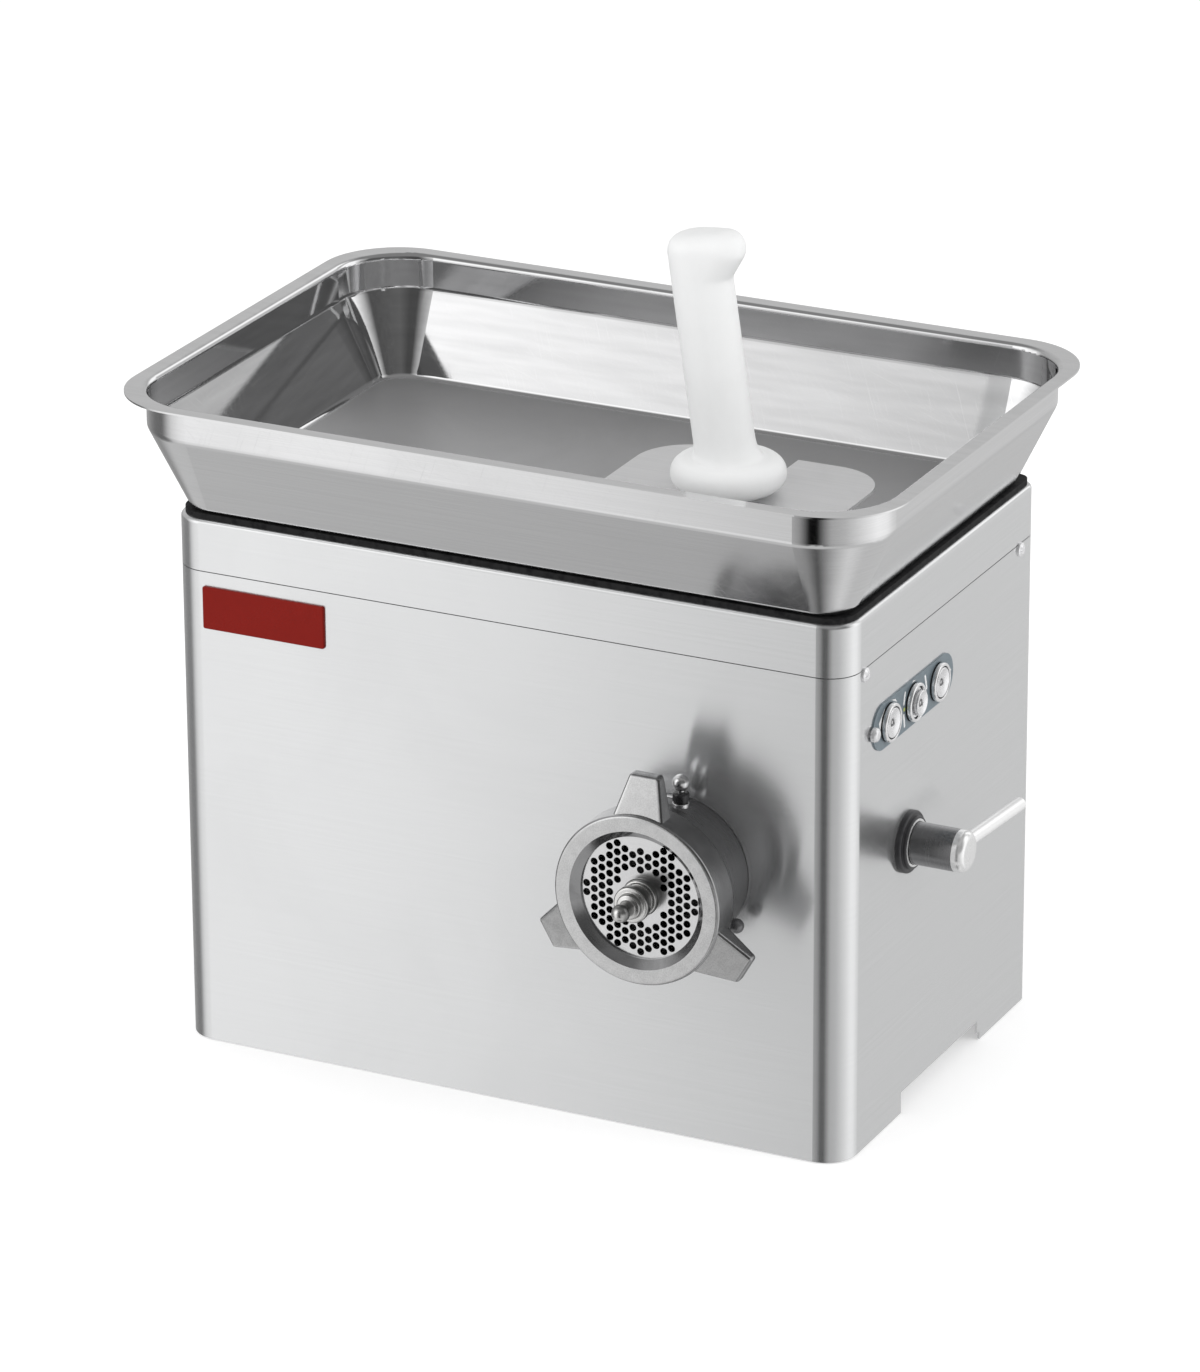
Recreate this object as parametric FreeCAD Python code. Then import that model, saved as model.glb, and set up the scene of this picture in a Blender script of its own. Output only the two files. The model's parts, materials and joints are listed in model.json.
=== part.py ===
import FreeCAD, Part
import os
from math import acos, cos, pi, radians, sin, sqrt, tan
from FreeCAD import Vector

# Electric meat grinder for a butcher's bench, in millimetres.
# X runs to the right, Y to the back and Z up. The origin is on the floor,
# at the middle of the casing's footprint.

os.makedirs("parts", exist_ok=True)

# Clearances
sheet_fit = 0.2          # flat sheets that lie side by side
face_gap = 0.2           # flat faces that part or turn on each other
slide_gap = 0.4          # round faces that slide out of each other
run_fit = 0.05           # radial play of a shaft in its bore

# Casing
case_w = 495.0
case_d = 310.0
case_sheet = 1.5
front_corner_r = 22.0
back_corner_r = 12.0
floor_gap = 1.0          # casing's lower edge above the floor
seam_z = 343.0           # line between casing and top cover
seam_gap = 0.6
cover_h = 36.0
cover_edge_r = 3.0
notch_from_front = 94.0
notch_len = 132.0
notch_h = 15.0
notch_lip_w = 3.5
notch_lip_h = 9.0

# Base and feet
base_above_notch = 2.0
base_sheet = 2.0
base_flange_h = 24.0
foot_r = 16.0
foot_inset = 42.0

# Back panel
back_rim = 26.0
back_lap = 12.0
back_sheet = 1.5
vent_len = 44.0
vent_h = 4.0
vent_pitch = 14.0
vent_rows = 8
vent_apart = 120.0
vent_z = 150.0
gland_r = 9.0
gland_nut_r = 14.0
gland_nut_t = 6.0
gland_out = 22.0
gland_bore_r = 5.0
gland_from_side = 97.5
gland_z = 84.0

# Screws
screw_r = 2.5
screw_head_r = 4.8
screw_head_h = 2.6
screw_len = 9.0
slot_w = 1.2
slot_depth = 1.0
cover_screw_drop = 4.0
cover_tab_w = 12.0
cover_tab_t = 2.0
cover_tab_h = 30.0

# Badge on the front
badge_w = 91.5
badge_h = 30.0
badge_t = 2.0
badge_corner_r = 1.5
badge_from_side = 70.5
badge_z = 318.0

# Tray and its seal
seal_inset = 3.0
seal_t = 4.0
seal_w = 36.0
tray_w = 563.0
tray_d = 379.0
tray_h = 83.0
tray_ahead = 2.0         # tray's middle ahead of the casing's
tray_sheet = 1.2
tray_lip = 12.0
tray_band_h = 25.0
tray_slope_in = 27.6
rim_corner_r = 55.0
band_corner_r = 50.0
lip_bend_r = 3.5
lip_root = 1.0           # flat between the lip's bend and the rim
crease_bend_r = 8.0
floor_bend_r = 6.0
floor_lap = 14.0

# Throat, guard plate and pusher
throat_behind_front = 76.0
throat_bore_r = 26.0
throat_wall = 2.0
throat_rise = 8.0        # above the tray's floor
throat_flange_w = 6.0
throat_flange_t = 2.0
throat_gap = 1.0         # holes round the throat tube
guard_w = 168.0
guard_d = 150.0
guard_t = 2.0
guard_rise = 45.0        # guard's upper face above the tray's floor
guard_corner_r = 38.0
guard_hole_gap = 1.0
guard_slot_w = 31.0
guard_leg_r = 4.0
guard_leg_apart = 90.0
plunger_r = 22.5
plunger_gap = 4.0        # plunger's end above the barrel
pusher_foot_r = 25.5
pusher_foot_h = 3.0
pusher_flange_r = 38.2
pusher_flange_h = 21.0
pusher_flange_edge_r = 10.0
pusher_handle_r = 20.5
pusher_handle_len = 162.5  # from the flange's middle to the top
pusher_tilt = 8.0
pusher_knob_h = 32.0
pusher_knob_out = 10.0
pusher_knob_edge_r = 10.0

# Grinding head
head_x = 128.0
head_z = 194.1
head_reach = 63.6        # ring's front face ahead of the casing
barrel_r = 51.0
spigot_r = 48.5          # barrel's back part, which goes into the sleeve
barrel_shoulder = 5.0    # step to the spigot, ahead of the casing
bore_r = 39.0
thread_r = 53.0
thread_gap = 0.3
ring_r = 59.0
ring_depth = 25.0
ring_lip = 7.0
ring_open_r = 42.5
ring_edge_r = 2.0
ring_chamfer = 5.5
wing_count = 3
wing_tip_r = 83.0
wing_base_w = 35.0
wing_tip_w = 21.0
wing_base_t = 15.0
wing_tip_t = 8.0
wing_sweep = 13.0        # wing tip behind the ring's front face
wing_edge_r = 2.0
wing_root_in = 4.0        # wing's root inside the ring
plate_r = 48.0
plate_t = 9.0
plate_fit = 0.3
plate_lead = 5.0         # plate standing out of the barrel
hole_r = 2.55
hole_pitch = 6.4
hole_inner_r = 18.0
hole_rim = 8.5           # plain rim of the plate
key_r = 2.5
key_in = 4.0
knife_r = 44.0
knife_t = 12.0
knife_arms = 4
knife_arm_w = 14.0
knife_hub_r = 17.0
knife_room = 1.5
spindle_r = 12.5
spindle_groove_r = 9.5
spindle_collar_r = 12.4
spindle_shoulder_r = 8.6
spindle_neck_r = 5.2
spindle_ball_r = 6.1
spindle_boss = 3.2       # boss ahead of the plate
spindle_groove = 7.0
spindle_collar = 5.0
spindle_shoulder = 3.5
spindle_neck = 10.5      # from the shoulder to the ball's middle
spindle_square = 18.0
auger_core_r = 15.0
auger_r = 38.0
auger_flight_t = 6.0
auger_pitch = 40.0
auger_turns = 3.0
auger_shank_r = 20.0
auger_hex = 24.0         # across flats
auger_hex_len = 24.0
hex_gap = 0.2
barrel_end_wall = 24.0
barrel_end_gap = 5.0     # barrel's end short of the gearbox
post_ahead = 13.6        # post's axis ahead of the casing
post_aside = 8.5         # post's axis right of the barrel's
post_collar_r = 5.6
post_collar_h = 9.1
post_ball_r = 5.7
post_stem_r = 2.6
post_stem_h = 0.6
post_pin_r = 1.0
post_pin_len = 26.0
post_pin_h = 3.9
stud_angles = (-30.0, 210.0)
stud_ball_r = 5.0
stud_out = 5.0
stud_ahead = 13.6

# Sleeve that carries the head, and its clamp
head_room = 140.0        # gearbox behind the casing's front face
sleeve_r = 62.0
sleeve_front_gap = 5.5
sleeve_flange_r = 76.0
sleeve_flange_t = 12.0
panel_hole_gap = 0.6
clamp_behind_front = 100.0
clamp_rise = 1.5         # clamp's axis above the head's
clamp_r = 8.0
clamp_boss_r = 20.0
clamp_boss_out = 84.0
clamp_pad_len = 7.0
clamp_tip_gap = 0.3
clamp_head_r = 14.4
clamp_head_len = 38.0
clamp_head_edge_r = 4.0
clamp_rod_r = 4.2
clamp_rod_out = 97.0
clamp_rod_from_end = 11.4
clamp_rod_droop = 4.5
bush_r = 21.3
bush_step_r = 18.0
bush_flange_t = 4.0
bush_step_t = 2.5
bush_spigot_r = 16.0
bush_spigot = 4.0
bush_play = 0.1
bush_edge_r = 1.2

# Buttons on the right side
button_z = 293.0
button_middle_from_front = 104.5
button_pitch = 39.4
button_r = 10.0
button_gap = 0.3
button_travel = 4.0
button_dish_r = 34.0
stop_r = 8.6
stop_out = 2.6
bezel_r = 13.2
bezel_h = 4.0
button_plate_len = 129.0
button_plate_w = 32.0
button_plate_t = 1.0
block_neck_r = 12.0
block_neck = 9.0
block_w = 30.0
block_h = 40.0
block_d = 20.0
plate_stud_r = 5.0
plate_stud_h = 4.0
plate_stud_along = 64.0

# Gears: module, teeth and face widths
out_module = 2.5
out_teeth = 56
lay_pinion_teeth = 17
in_module = 2.0
lay_teeth = 60
motor_teeth = 16
out_face = 22.0
in_face = 18.0
face_extra = 2.0         # a pinion is this much wider than its gear
backlash = 0.3
lay_angle = 200.0
motor_angle = 180.0

# Gearbox
box_wall = 8.0
box_depth = 90.0
box_room = 12.0          # box's outline beyond the gears
box_corner_r = 25.0
box_cover_t = 8.0
bearing_w = 14.0
bearing_wall = 6.0       # boss round a bearing
bearing_back_wall = 3.0
seal_w_shaft = 7.0
out_nose_r = 25.0
out_nose_gap = 2.2       # shaft's nose behind the barrel
socket_room = 2.0
out_bearing_r = 40.0
out_tail_r = 17.5
out_tail_bearing_r = 31.0
out_seat_r = 22.0
lay_shaft_r = 13.0
lay_journal_r = 10.0
lay_bearing_r = 23.5
gear_start = 23.0        # first gear pair behind the gearbox front
second_gap = 12.0        # between the two gear pairs
box_bolt_r = 4.0
box_bolt_head_r = 6.5
box_bolt_head_h = 6.0
box_bolt_len = 20.0
box_blind = 1.0          # wall left behind a blind bolt hole
pedestal_t = 5.0
pedestal_w = 200.0
pedestal_d = 64.0
pedestal_foot = 22.0

# Motor
motor_r = 75.0
motor_len = 113.0
motor_wall = 9.0
motor_end_t = 12.0
motor_fins = 18
fin_h = 5.0
fin_t = 3.0
rotor_r = 45.0
air_gap = 0.6
pack_len = 66.0
stator_extra = 6.0
rotor_shaft_r = 9.0
rotor_hole_gap = 1.0
rotor_bearing_in = 4.0   # front bearing proud of the end shield
rotor_bearing_r = 20.0
fan_r = 58.0
fan_hub_r = 14.0
fan_t = 9.0
fan_sheet = 2.0
fan_blades = 7
fan_gap = 3.0
fan_cover_len = 18.0
fan_cover_sheet = 1.5
grille_hole_r = 3.5
grille_pitch = 9.0
grille_rings = 6

# Controls inside
control_sheet = 2.0
control_w = 90.0
control_h = 150.0
control_from_side = 57.5
control_y = 60.0
contactor_w = 46.0
contactor_h = 74.0
contactor_d = 52.0
terminal_w = 62.0
terminal_h = 24.0
terminal_d = 28.0
terminal_ways = 5
rail_gap = 14.0

# Places that follow from the sizes
case_front = -case_d / 2
case_back = case_d / 2
case_side = case_w / 2
gland_x = gland_from_side - case_side
control_x = control_from_side - case_side
badge_x = badge_from_side - case_side
cover_top = seam_z + cover_h
seal_top = cover_top + seal_t
tray_z = seal_top + face_gap
tray_floor = tray_z + tray_sheet
tray_top = tray_z + tray_h
base_z = floor_gap + notch_h + base_above_notch
base_top = base_z + base_sheet
throat_y = case_front + throat_behind_front
throat_r = throat_bore_r + throat_wall
guard_top = tray_floor + guard_rise
pusher_z = guard_top + face_gap
ring_front = case_front - head_reach
ring_back = ring_front + ring_depth
plate_front = ring_front + ring_lip + face_gap
knife_front = plate_front + plate_t + face_gap
auger_front = knife_front + knife_t
barrel_front = plate_front + plate_lead
shoulder_y = case_front - barrel_shoulder
box_front = case_front + head_room
box_back = box_front + box_depth
barrel_back = box_front - barrel_end_gap
barrel_bore_end = barrel_back - barrel_end_wall
sleeve_bore_r = spigot_r + slide_gap
clamp_y = case_front + clamp_behind_front
clamp_z = head_z + clamp_rise
button_y = case_front + button_middle_from_front
button_face = case_side + button_plate_t
out_pitch_r = out_module * out_teeth / 2
lay_pinion_pitch_r = out_module * lay_pinion_teeth / 2
lay_pitch_r = in_module * lay_teeth / 2
motor_pitch_r = in_module * motor_teeth / 2
lay_x = head_x + (out_pitch_r + lay_pinion_pitch_r) * cos(radians(lay_angle))
lay_z = head_z + (out_pitch_r + lay_pinion_pitch_r) * sin(radians(lay_angle))
motor_x = lay_x + (lay_pitch_r + motor_pitch_r) * cos(radians(motor_angle))
motor_z = lay_z + (lay_pitch_r + motor_pitch_r) * sin(radians(motor_angle))
in_gear_y = box_front + gear_start
out_gear_y = in_gear_y + in_face + second_gap
motor_front = box_front - motor_len
box_left = motor_x - motor_pitch_r - in_module - box_room
box_right = head_x + out_pitch_r + out_module + box_room
box_top = head_z + out_pitch_r + out_module + box_room
box_bottom = lay_z - lay_pitch_r - in_module - box_room


# Plain solids
def box(x0, x1, y0, y1, z0, z1):
    return Part.makeBox(x1 - x0, y1 - y0, z1 - z0, Vector(x0, y0, z0))


def rod(axis, centre, r, start, end):
    # centre holds the two places across the axis, in X, Y, Z order
    places = list(centre)
    places.insert("xyz".index(axis), start)
    way = [0, 0, 0]
    way["xyz".index(axis)] = 1
    return Part.makeCylinder(r, end - start, Vector(*places), Vector(*way))


def turned(axis, centre, profile):
    # profile is a list of (place along the axis, radius), closed on the axis
    across = 1 if axis == "x" else 0
    along = "xyz".index(axis)
    base = list(centre)
    base.insert(along, 0)
    corners = [(profile[0][0], 0)] + list(profile) + [(profile[-1][0], 0)]
    points = []
    for place, r in corners:
        point = list(base)
        point[along] = place
        point[across] += r
        if not points or (Vector(*point) - points[-1]).Length > 1e-6:
            points.append(Vector(*point))
    way = [0, 0, 0]
    way[along] = 1
    face = Part.Face(Part.makePolygon(points + [points[0]]))
    return face.revolve(Vector(*base), Vector(*way), 360)


def rounded_wire(x0, x1, y0, y1, z, front_r, back_r):
    edges = []
    corners = ((x0, y0, 180, front_r), (x1, y0, 270, front_r), (x1, y1, 0, back_r), (x0, y1, 90, back_r))
    arcs = []
    for x, y, angle, r in corners:
        cx = x + (r if x == x0 else -r)
        cy = y + (r if y == y0 else -r)
        bends = [Vector(cx + r * cos(radians(a)), cy + r * sin(radians(a)), z)
                 for a in (angle, angle + 45, angle + 90)]
        arcs.append(bends)
    for i, bends in enumerate(arcs):
        edges.append(Part.Arc(*bends).toShape())
        edges.append(Part.makeLine(bends[2], arcs[(i + 1) % 4][0]))
    return Part.Wire(edges)


def rounded(x0, x1, y0, y1, z0, z1, front_r, back_r):
    face = Part.Face(rounded_wire(x0, x1, y0, y1, z0, front_r, back_r))
    return face.extrude(Vector(0, 0, z1 - z0))


def case_block(inset, z0, z1):
    # the casing's outline, drawn in by inset
    return rounded(-case_side + inset, case_side - inset, case_front + inset, case_back - inset,
                   z0, z1, front_corner_r - inset, back_corner_r - inset)


def hexagon(across_flats, x, z, y0, y1):
    r = across_flats / sqrt(3)
    points = [Vector(x + r * cos(k * pi / 3), y0, z + r * sin(k * pi / 3)) for k in range(7)]
    return Part.Face(Part.makePolygon(points)).extrude(Vector(0, y1 - y0, 0))


def joined(shapes):
    whole = shapes[0].multiFuse(list(shapes[1:]))
    return whole.removeSplitter()


def rounded_edges(shape, r, chosen):
    edges = [edge for edge in shape.Edges if chosen(edge)]
    return shape.makeFillet(r, edges)


def around(shape, angle):
    # turned about the head's axis, from +X towards +Z
    copy = shape.copy()
    copy.rotate(Vector(head_x, 0, head_z), Vector(0, -1, 0), angle)
    return copy


def mirrored_x(shape):
    return shape.mirror(Vector(0, 0, 0), Vector(1, 0, 0))


def save(name, solids):
    shape = Part.makeCompound(solids) if isinstance(solids, list) else solids
    shape.exportStep("parts/" + name + ".step")
    volume = sum(solid.Volume for solid in shape.Solids) / 1000
    print(f"{name:18s} solids {len(shape.Solids):3d}  valid {shape.isValid()}  {volume:9.1f} cm3")


# Casing, cover, base and back
def side_screw_places():
    inset = front_corner_r + cover_tab_w / 2
    return (case_front + inset, case_back - inset)


def casing_shell():
    top = seam_z - seam_gap / 2
    shell = case_block(0, floor_gap, top).cut(case_block(case_sheet, floor_gap - 1, top + 1))
    notch_start = case_front + notch_from_front
    notch_end = notch_start + notch_len
    reach = case_side + 1
    cuts = [box(-reach, reach, notch_start, notch_end, floor_gap - 1, floor_gap + notch_h)]
    window = case_side - back_rim
    cuts.append(box(-window, window, case_back - case_sheet - 1, case_back + 1,
                    base_top + base_flange_h + back_rim / 2, seam_z - back_rim / 2))
    cuts.append(rod("y", (head_x, head_z), spigot_r + panel_hole_gap, case_front - 1,
                    case_front + case_sheet + 1))
    cuts.append(rod("x", (clamp_y, clamp_z), bush_spigot_r + sheet_fit, case_side - case_sheet - 1, reach))
    for k in (-1, 0, 1):
        cuts.append(rod("x", (button_y + k * button_pitch, button_z), button_r + button_gap,
                        case_side - case_sheet - 1, reach))
    slot = screw_r + sheet_fit
    for y in side_screw_places():
        cuts.append(rod("x", (y, seam_z - cover_screw_drop), slot, -reach, reach))
        cuts.append(box(-reach, reach, y - slot, y + slot, seam_z - cover_screw_drop, seam_z + 1))
    for x, z in back_screw_places():
        cuts.append(rod("y", (x, z), screw_r, case_back - case_sheet - 1, case_back + 1))
    cuts.append(rod("x", plate_stud_place(), screw_r, case_side - case_sheet - 1, reach))
    shell = shell.cut(Part.makeCompound(cuts))
    lips = []
    for side in (-1, 1):
        outer = side * case_side
        inner = side * (case_side - case_sheet)
        lips.append(box(min(outer, inner), max(outer, inner), notch_end - notch_lip_w - 1, notch_end + 1,
                        floor_gap + notch_h - notch_lip_h, floor_gap + notch_h + 1))
    return joined([shell] + lips)


def back_screw_places():
    x = case_side - back_rim + back_lap / 2
    low = base_top + base_flange_h + back_rim / 2
    high = seam_z - back_rim / 2
    middle = (low + high) / 2
    return [(side * x, z) for side in (-1, 1) for z in (low + back_lap, middle, high - back_lap)]


def back_panel():
    half = case_side - back_rim + back_lap
    outer = case_back - case_sheet
    low = base_top + base_flange_h + back_rim / 2 - back_lap
    high = seam_z - back_rim / 2 + back_lap
    panel = box(-half, half, outer - back_sheet, outer, low, high)
    cuts = []
    for x, z in back_screw_places():
        cuts.append(rod("y", (x, z), screw_r, outer - back_sheet - 1, outer + 1))
    for side in (-1, 1):
        for row in range(vent_rows):
            z = vent_z + row * vent_pitch
            x = side * vent_apart / 2
            cuts.append(box(x - vent_len / 2, x + vent_len / 2, outer - back_sheet - 1, outer + 1,
                            z - vent_h / 2, z + vent_h / 2))
    cuts.append(rod("y", (gland_x, gland_z), gland_r, outer - back_sheet - 1, outer + 1))
    return panel.cut(Part.makeCompound(cuts))


def cable_gland():
    panel_out = case_back - case_sheet
    panel_in = panel_out - back_sheet
    profile = [(panel_in - gland_nut_t, gland_nut_r), (panel_in, gland_nut_r), (panel_in, gland_r),
               (panel_out, gland_r), (panel_out, gland_nut_r), (panel_out + gland_nut_t, gland_nut_r),
               (panel_out + gland_out, gland_r)]
    body = turned("y", (gland_x, gland_z), profile)
    return body.cut(rod("y", (gland_x, gland_z), gland_bore_r, panel_in - gland_nut_t - 1,
                        panel_out + gland_out + 1))


def top_cover():
    low = seam_z + seam_gap / 2
    block = case_block(0, low, cover_top)
    block = rounded_edges(block, cover_edge_r, lambda e: e.BoundBox.ZMin > cover_top - 0.01)
    shell = block.cut(case_block(case_sheet, low - 1, cover_top - case_sheet))
    shell = shell.cut(rod("z", (head_x, throat_y), throat_r + throat_gap, cover_top - case_sheet - 1,
                          cover_top + 1))
    inner = case_side - case_sheet
    tabs = []
    for y in side_screw_places():
        drop = seam_z - cover_tab_h / 2
        rise = seam_z + cover_tab_h / 2
        tab = box(inner - sheet_fit - cover_tab_t, inner - sheet_fit, y - cover_tab_w / 2,
                  y + cover_tab_w / 2, drop, rise)
        weld = box(inner - sheet_fit - 0.01, inner + 0.2, y - cover_tab_w / 2, y + cover_tab_w / 2,
                   low, rise)
        hole = rod("x", (y, seam_z - cover_screw_drop), screw_r, inner - 2 * cover_tab_t - 1, inner + 1)
        tabs.append(joined([tab, weld]).cut(hole))
    tabs += [mirrored_x(tab) for tab in tabs]
    return joined([shell] + tabs)


def pan_screw(axis, centre, seat, way):
    # slotted pan head standing on seat, with its shank going back the other way
    tip = seat - way * screw_len
    top = seat + way * screw_head_h
    shank = rod(axis, centre, screw_r, min(tip, seat), max(tip, seat))
    head = turned(axis, centre, [(seat, screw_head_r), (seat + way * screw_head_h * 0.5, screw_head_r),
                                 (top, screw_head_r * 0.6)])
    bottom = top - way * slot_depth
    low, high = min(bottom, top + way), max(bottom, top + way)
    across = screw_head_r + 1
    if axis == "x":
        slot = box(low, high, centre[0] - across, centre[0] + across, centre[1] - slot_w / 2,
                   centre[1] + slot_w / 2)
    else:
        slot = box(centre[0] - across, centre[0] + across, low, high, centre[1] - slot_w / 2,
                   centre[1] + slot_w / 2)
    return joined([shank, head]).cut(slot)


def cover_screws():
    screws = []
    for y in side_screw_places():
        for side in (-1, 1):
            screws.append(pan_screw("x", (y, seam_z - cover_screw_drop), side * case_side, side))
    return screws


def back_screws():
    return [pan_screw("y", place, case_back, 1) for place in back_screw_places()]


def base_plate():
    gap = case_sheet + sheet_fit
    tub = case_block(gap, base_z, base_top + base_flange_h)
    return tub.cut(case_block(gap + base_sheet, base_top, base_top + base_flange_h + 1))


def rubber_feet():
    feet = []
    for sx in (-1, 1):
        for sy in (-1, 1):
            place = (sx * (case_side - foot_inset), sy * (case_back - foot_inset))
            foot = turned("z", place, [(0, foot_r * 0.82), (base_z * 0.2, foot_r * 0.9), (base_z, foot_r)])
            feet.append(foot)
    return feet


def badge():
    x0 = badge_x - badge_w / 2
    z0 = badge_z - badge_h / 2
    plate = box(x0, x0 + badge_w, case_front - badge_t, case_front, z0, z0 + badge_h)
    plate = rounded_edges(plate, badge_corner_r, lambda e: e.BoundBox.YLength > badge_t / 2)
    return rounded_edges(plate, badge_t * 0.4, lambda e: e.BoundBox.YMax < case_front - badge_t + 0.01)


# Tray, throat, guard and pusher
def bent_sheet(points, radii, t):
    # section of a bent sheet along its middle line, as a face in the XZ plane
    def side(offset):
        ways = [(b - a).normalize() for a, b in zip(points, points[1:])]
        normals = [Vector(-w.z, 0, w.x) for w in ways]
        edges = []
        first = points[0] + normals[0] * offset
        start = first
        for i, r in enumerate(radii):
            corner = points[i + 1]
            turn = ways[i].getAngle(ways[i + 1])
            left = 1 if ways[i].cross(ways[i + 1]).y < 0 else -1
            reach = r * tan(turn / 2)
            enter = corner - ways[i] * reach
            leave = corner + ways[i + 1] * reach
            centre = enter + normals[i] * (left * r)
            middle = centre + (corner - centre).normalize() * (r - left * offset)
            arc_start = enter + normals[i] * offset
            arc_end = leave + normals[i + 1] * offset
            edges.append(Part.makeLine(start, arc_start))
            edges.append(Part.Arc(arc_start, middle, arc_end).toShape())
            start = arc_end
        last = points[-1] + normals[-1] * offset
        edges.append(Part.makeLine(start, last))
        return edges, first, last
    upper, upper_first, upper_last = side(t / 2)
    lower, lower_first, lower_last = side(-t / 2)
    caps = [Part.makeLine(upper_last, lower_last), Part.makeLine(lower_first, upper_first)]
    return Part.Face(Part.Wire(Part.__sortEdges__(upper + lower + caps)))


def framed(section, half_x, half_y):
    # a section, drawn outwards from a corner's centre, taken all the way round
    at_side = section.copy()
    at_side.translate(Vector(half_x, 0, 0))
    side = at_side.extrude(Vector(0, -half_y, 0))
    at_corner = at_side.copy()
    at_corner.translate(Vector(0, -half_y, 0))
    corner = at_corner.revolve(Vector(half_x, -half_y, 0), Vector(0, 0, 1), -90)
    at_front = section.copy()
    at_front.rotate(Vector(0, 0, 0), Vector(0, 0, 1), -90)
    at_front.translate(Vector(half_x, -half_y, 0))
    front = at_front.extrude(Vector(-half_x, 0, 0))
    quarter = [side, corner, front]
    half = quarter + [s.mirror(Vector(0, 0, 0), Vector(1, 0, 0)) for s in quarter]
    return half + [s.mirror(Vector(0, 0, 0), Vector(0, 1, 0)) for s in half]


def tray():
    half_x = tray_w / 2 - tray_lip - band_corner_r
    half_y = tray_d / 2 - tray_lip - band_corner_r
    middle = tray_sheet / 2
    band = band_corner_r - middle
    foot = band - tray_slope_in
    root = band + lip_bend_r + lip_root
    points = [Vector(foot - floor_lap, 0, tray_z + middle), Vector(foot, 0, tray_z + middle),
              Vector(band, 0, tray_top - tray_band_h), Vector(band, 0, tray_top - middle),
              Vector(root, 0, tray_top - middle)]
    section = bent_sheet(points, (floor_bend_r, crease_bend_r, lip_bend_r), tray_sheet)
    pieces = framed(section, half_x, half_y)
    edge = foot - floor_lap
    floor = rounded(-half_x - edge, half_x + edge, -half_y - edge, half_y + edge, tray_z, tray_floor,
                    edge, edge)
    rim = rounded(-tray_w / 2, tray_w / 2, -tray_d / 2, tray_d / 2, tray_top - tray_sheet, tray_top,
                  rim_corner_r, rim_corner_r)
    rim = rim.cut(rounded(-half_x - root, half_x + root, -half_y - root, half_y + root,
                          tray_top - tray_sheet - 1, tray_top + 1, root, root))
    shell = joined(pieces + [floor, rim])
    shell.translate(Vector(0, -tray_ahead, 0))
    return shell.cut(rod("z", (head_x, throat_y), throat_r + throat_gap, tray_z - 1, tray_floor + 1))


def tray_seal():
    outer = case_block(seal_inset, cover_top, seal_top)
    hole_x = case_side - seal_inset - seal_w
    hole_y = case_back - seal_inset - seal_w
    return outer.cut(rounded(-hole_x, hole_x, -hole_y, hole_y, cover_top - 1, seal_top + 1,
                             back_corner_r, back_corner_r))


def throat_tube():
    place = (head_x, throat_y)
    top = tray_floor + throat_rise
    tube = rod("z", place, throat_r, head_z, top)
    flange = rod("z", place, throat_r + throat_flange_w, cover_top, cover_top + throat_flange_t)
    body = joined([tube, flange]).cut(rod("z", place, throat_bore_r, head_z - 1, top + 1))
    body = body.cut(rod("y", (head_x, head_z), sleeve_bore_r, case_front, case_back))
    return rounded_edges(body, throat_wall * 0.45, lambda e: e.BoundBox.ZMin > top - 0.01)


def throat_guard():
    x0 = head_x - guard_w / 2
    y0 = throat_y - guard_d / 2
    low = guard_top - guard_t
    plate = rounded(x0, x0 + guard_w, y0, y0 + guard_d, low, guard_top, guard_corner_r, guard_corner_r)
    hole = rod("z", (head_x, throat_y), plunger_r + guard_hole_gap, low - 1, guard_top + 1)
    slot = box(head_x - guard_slot_w / 2, head_x + guard_slot_w / 2, throat_y, y0 + guard_d + 1,
               low - 1, guard_top + 1)
    return plate.cut(Part.makeCompound([hole, slot]))


def guard_legs():
    legs = []
    for sx in (-0.5, 0.5):
        for sy in (-0.5, 0.5):
            place = (head_x + sx * guard_leg_apart, throat_y + sy * guard_leg_apart)
            legs.append(rod("z", place, guard_leg_r, tray_floor, guard_top - guard_t))
    return legs


def pusher():
    place = (head_x, throat_y)
    end = head_z + spigot_r + plunger_gap
    plunger = rod("z", place, plunger_r, end, pusher_z)
    plunger = rounded_edges(plunger, plunger_r * 0.2, lambda e: e.BoundBox.ZMax < end + 0.01)
    flange_z = pusher_z + pusher_foot_h
    step = rod("z", place, pusher_foot_r, pusher_z, flange_z)
    flange = rod("z", place, pusher_flange_r, flange_z, flange_z + pusher_flange_h)
    flange = rounded_edges(flange, pusher_flange_edge_r, lambda e: abs(e.BoundBox.ZLength) < 0.01)
    foot = Vector(head_x, throat_y, flange_z + pusher_flange_h / 2)
    lean = Vector(-sin(radians(pusher_tilt)), 0, cos(radians(pusher_tilt)))
    handle = Part.makeCylinder(pusher_handle_r, pusher_handle_len - pusher_knob_h / 2, foot, lean)
    knob = joined([box(0, pusher_knob_out, -pusher_handle_r, pusher_handle_r, 0, pusher_knob_h),
                   rod("z", (0, 0), pusher_handle_r, 0, pusher_knob_h),
                   rod("z", (pusher_knob_out, 0), pusher_handle_r, 0, pusher_knob_h)])
    knob = rounded_edges(knob, pusher_knob_edge_r, lambda e: e.BoundBox.ZLength < 0.01)
    knob.rotate(Vector(0, 0, 0), Vector(0, 1, 0), -pusher_tilt)
    knob.translate(foot + lean * (pusher_handle_len - pusher_knob_h))
    return joined([plunger, step, flange, handle, knob])


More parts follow.
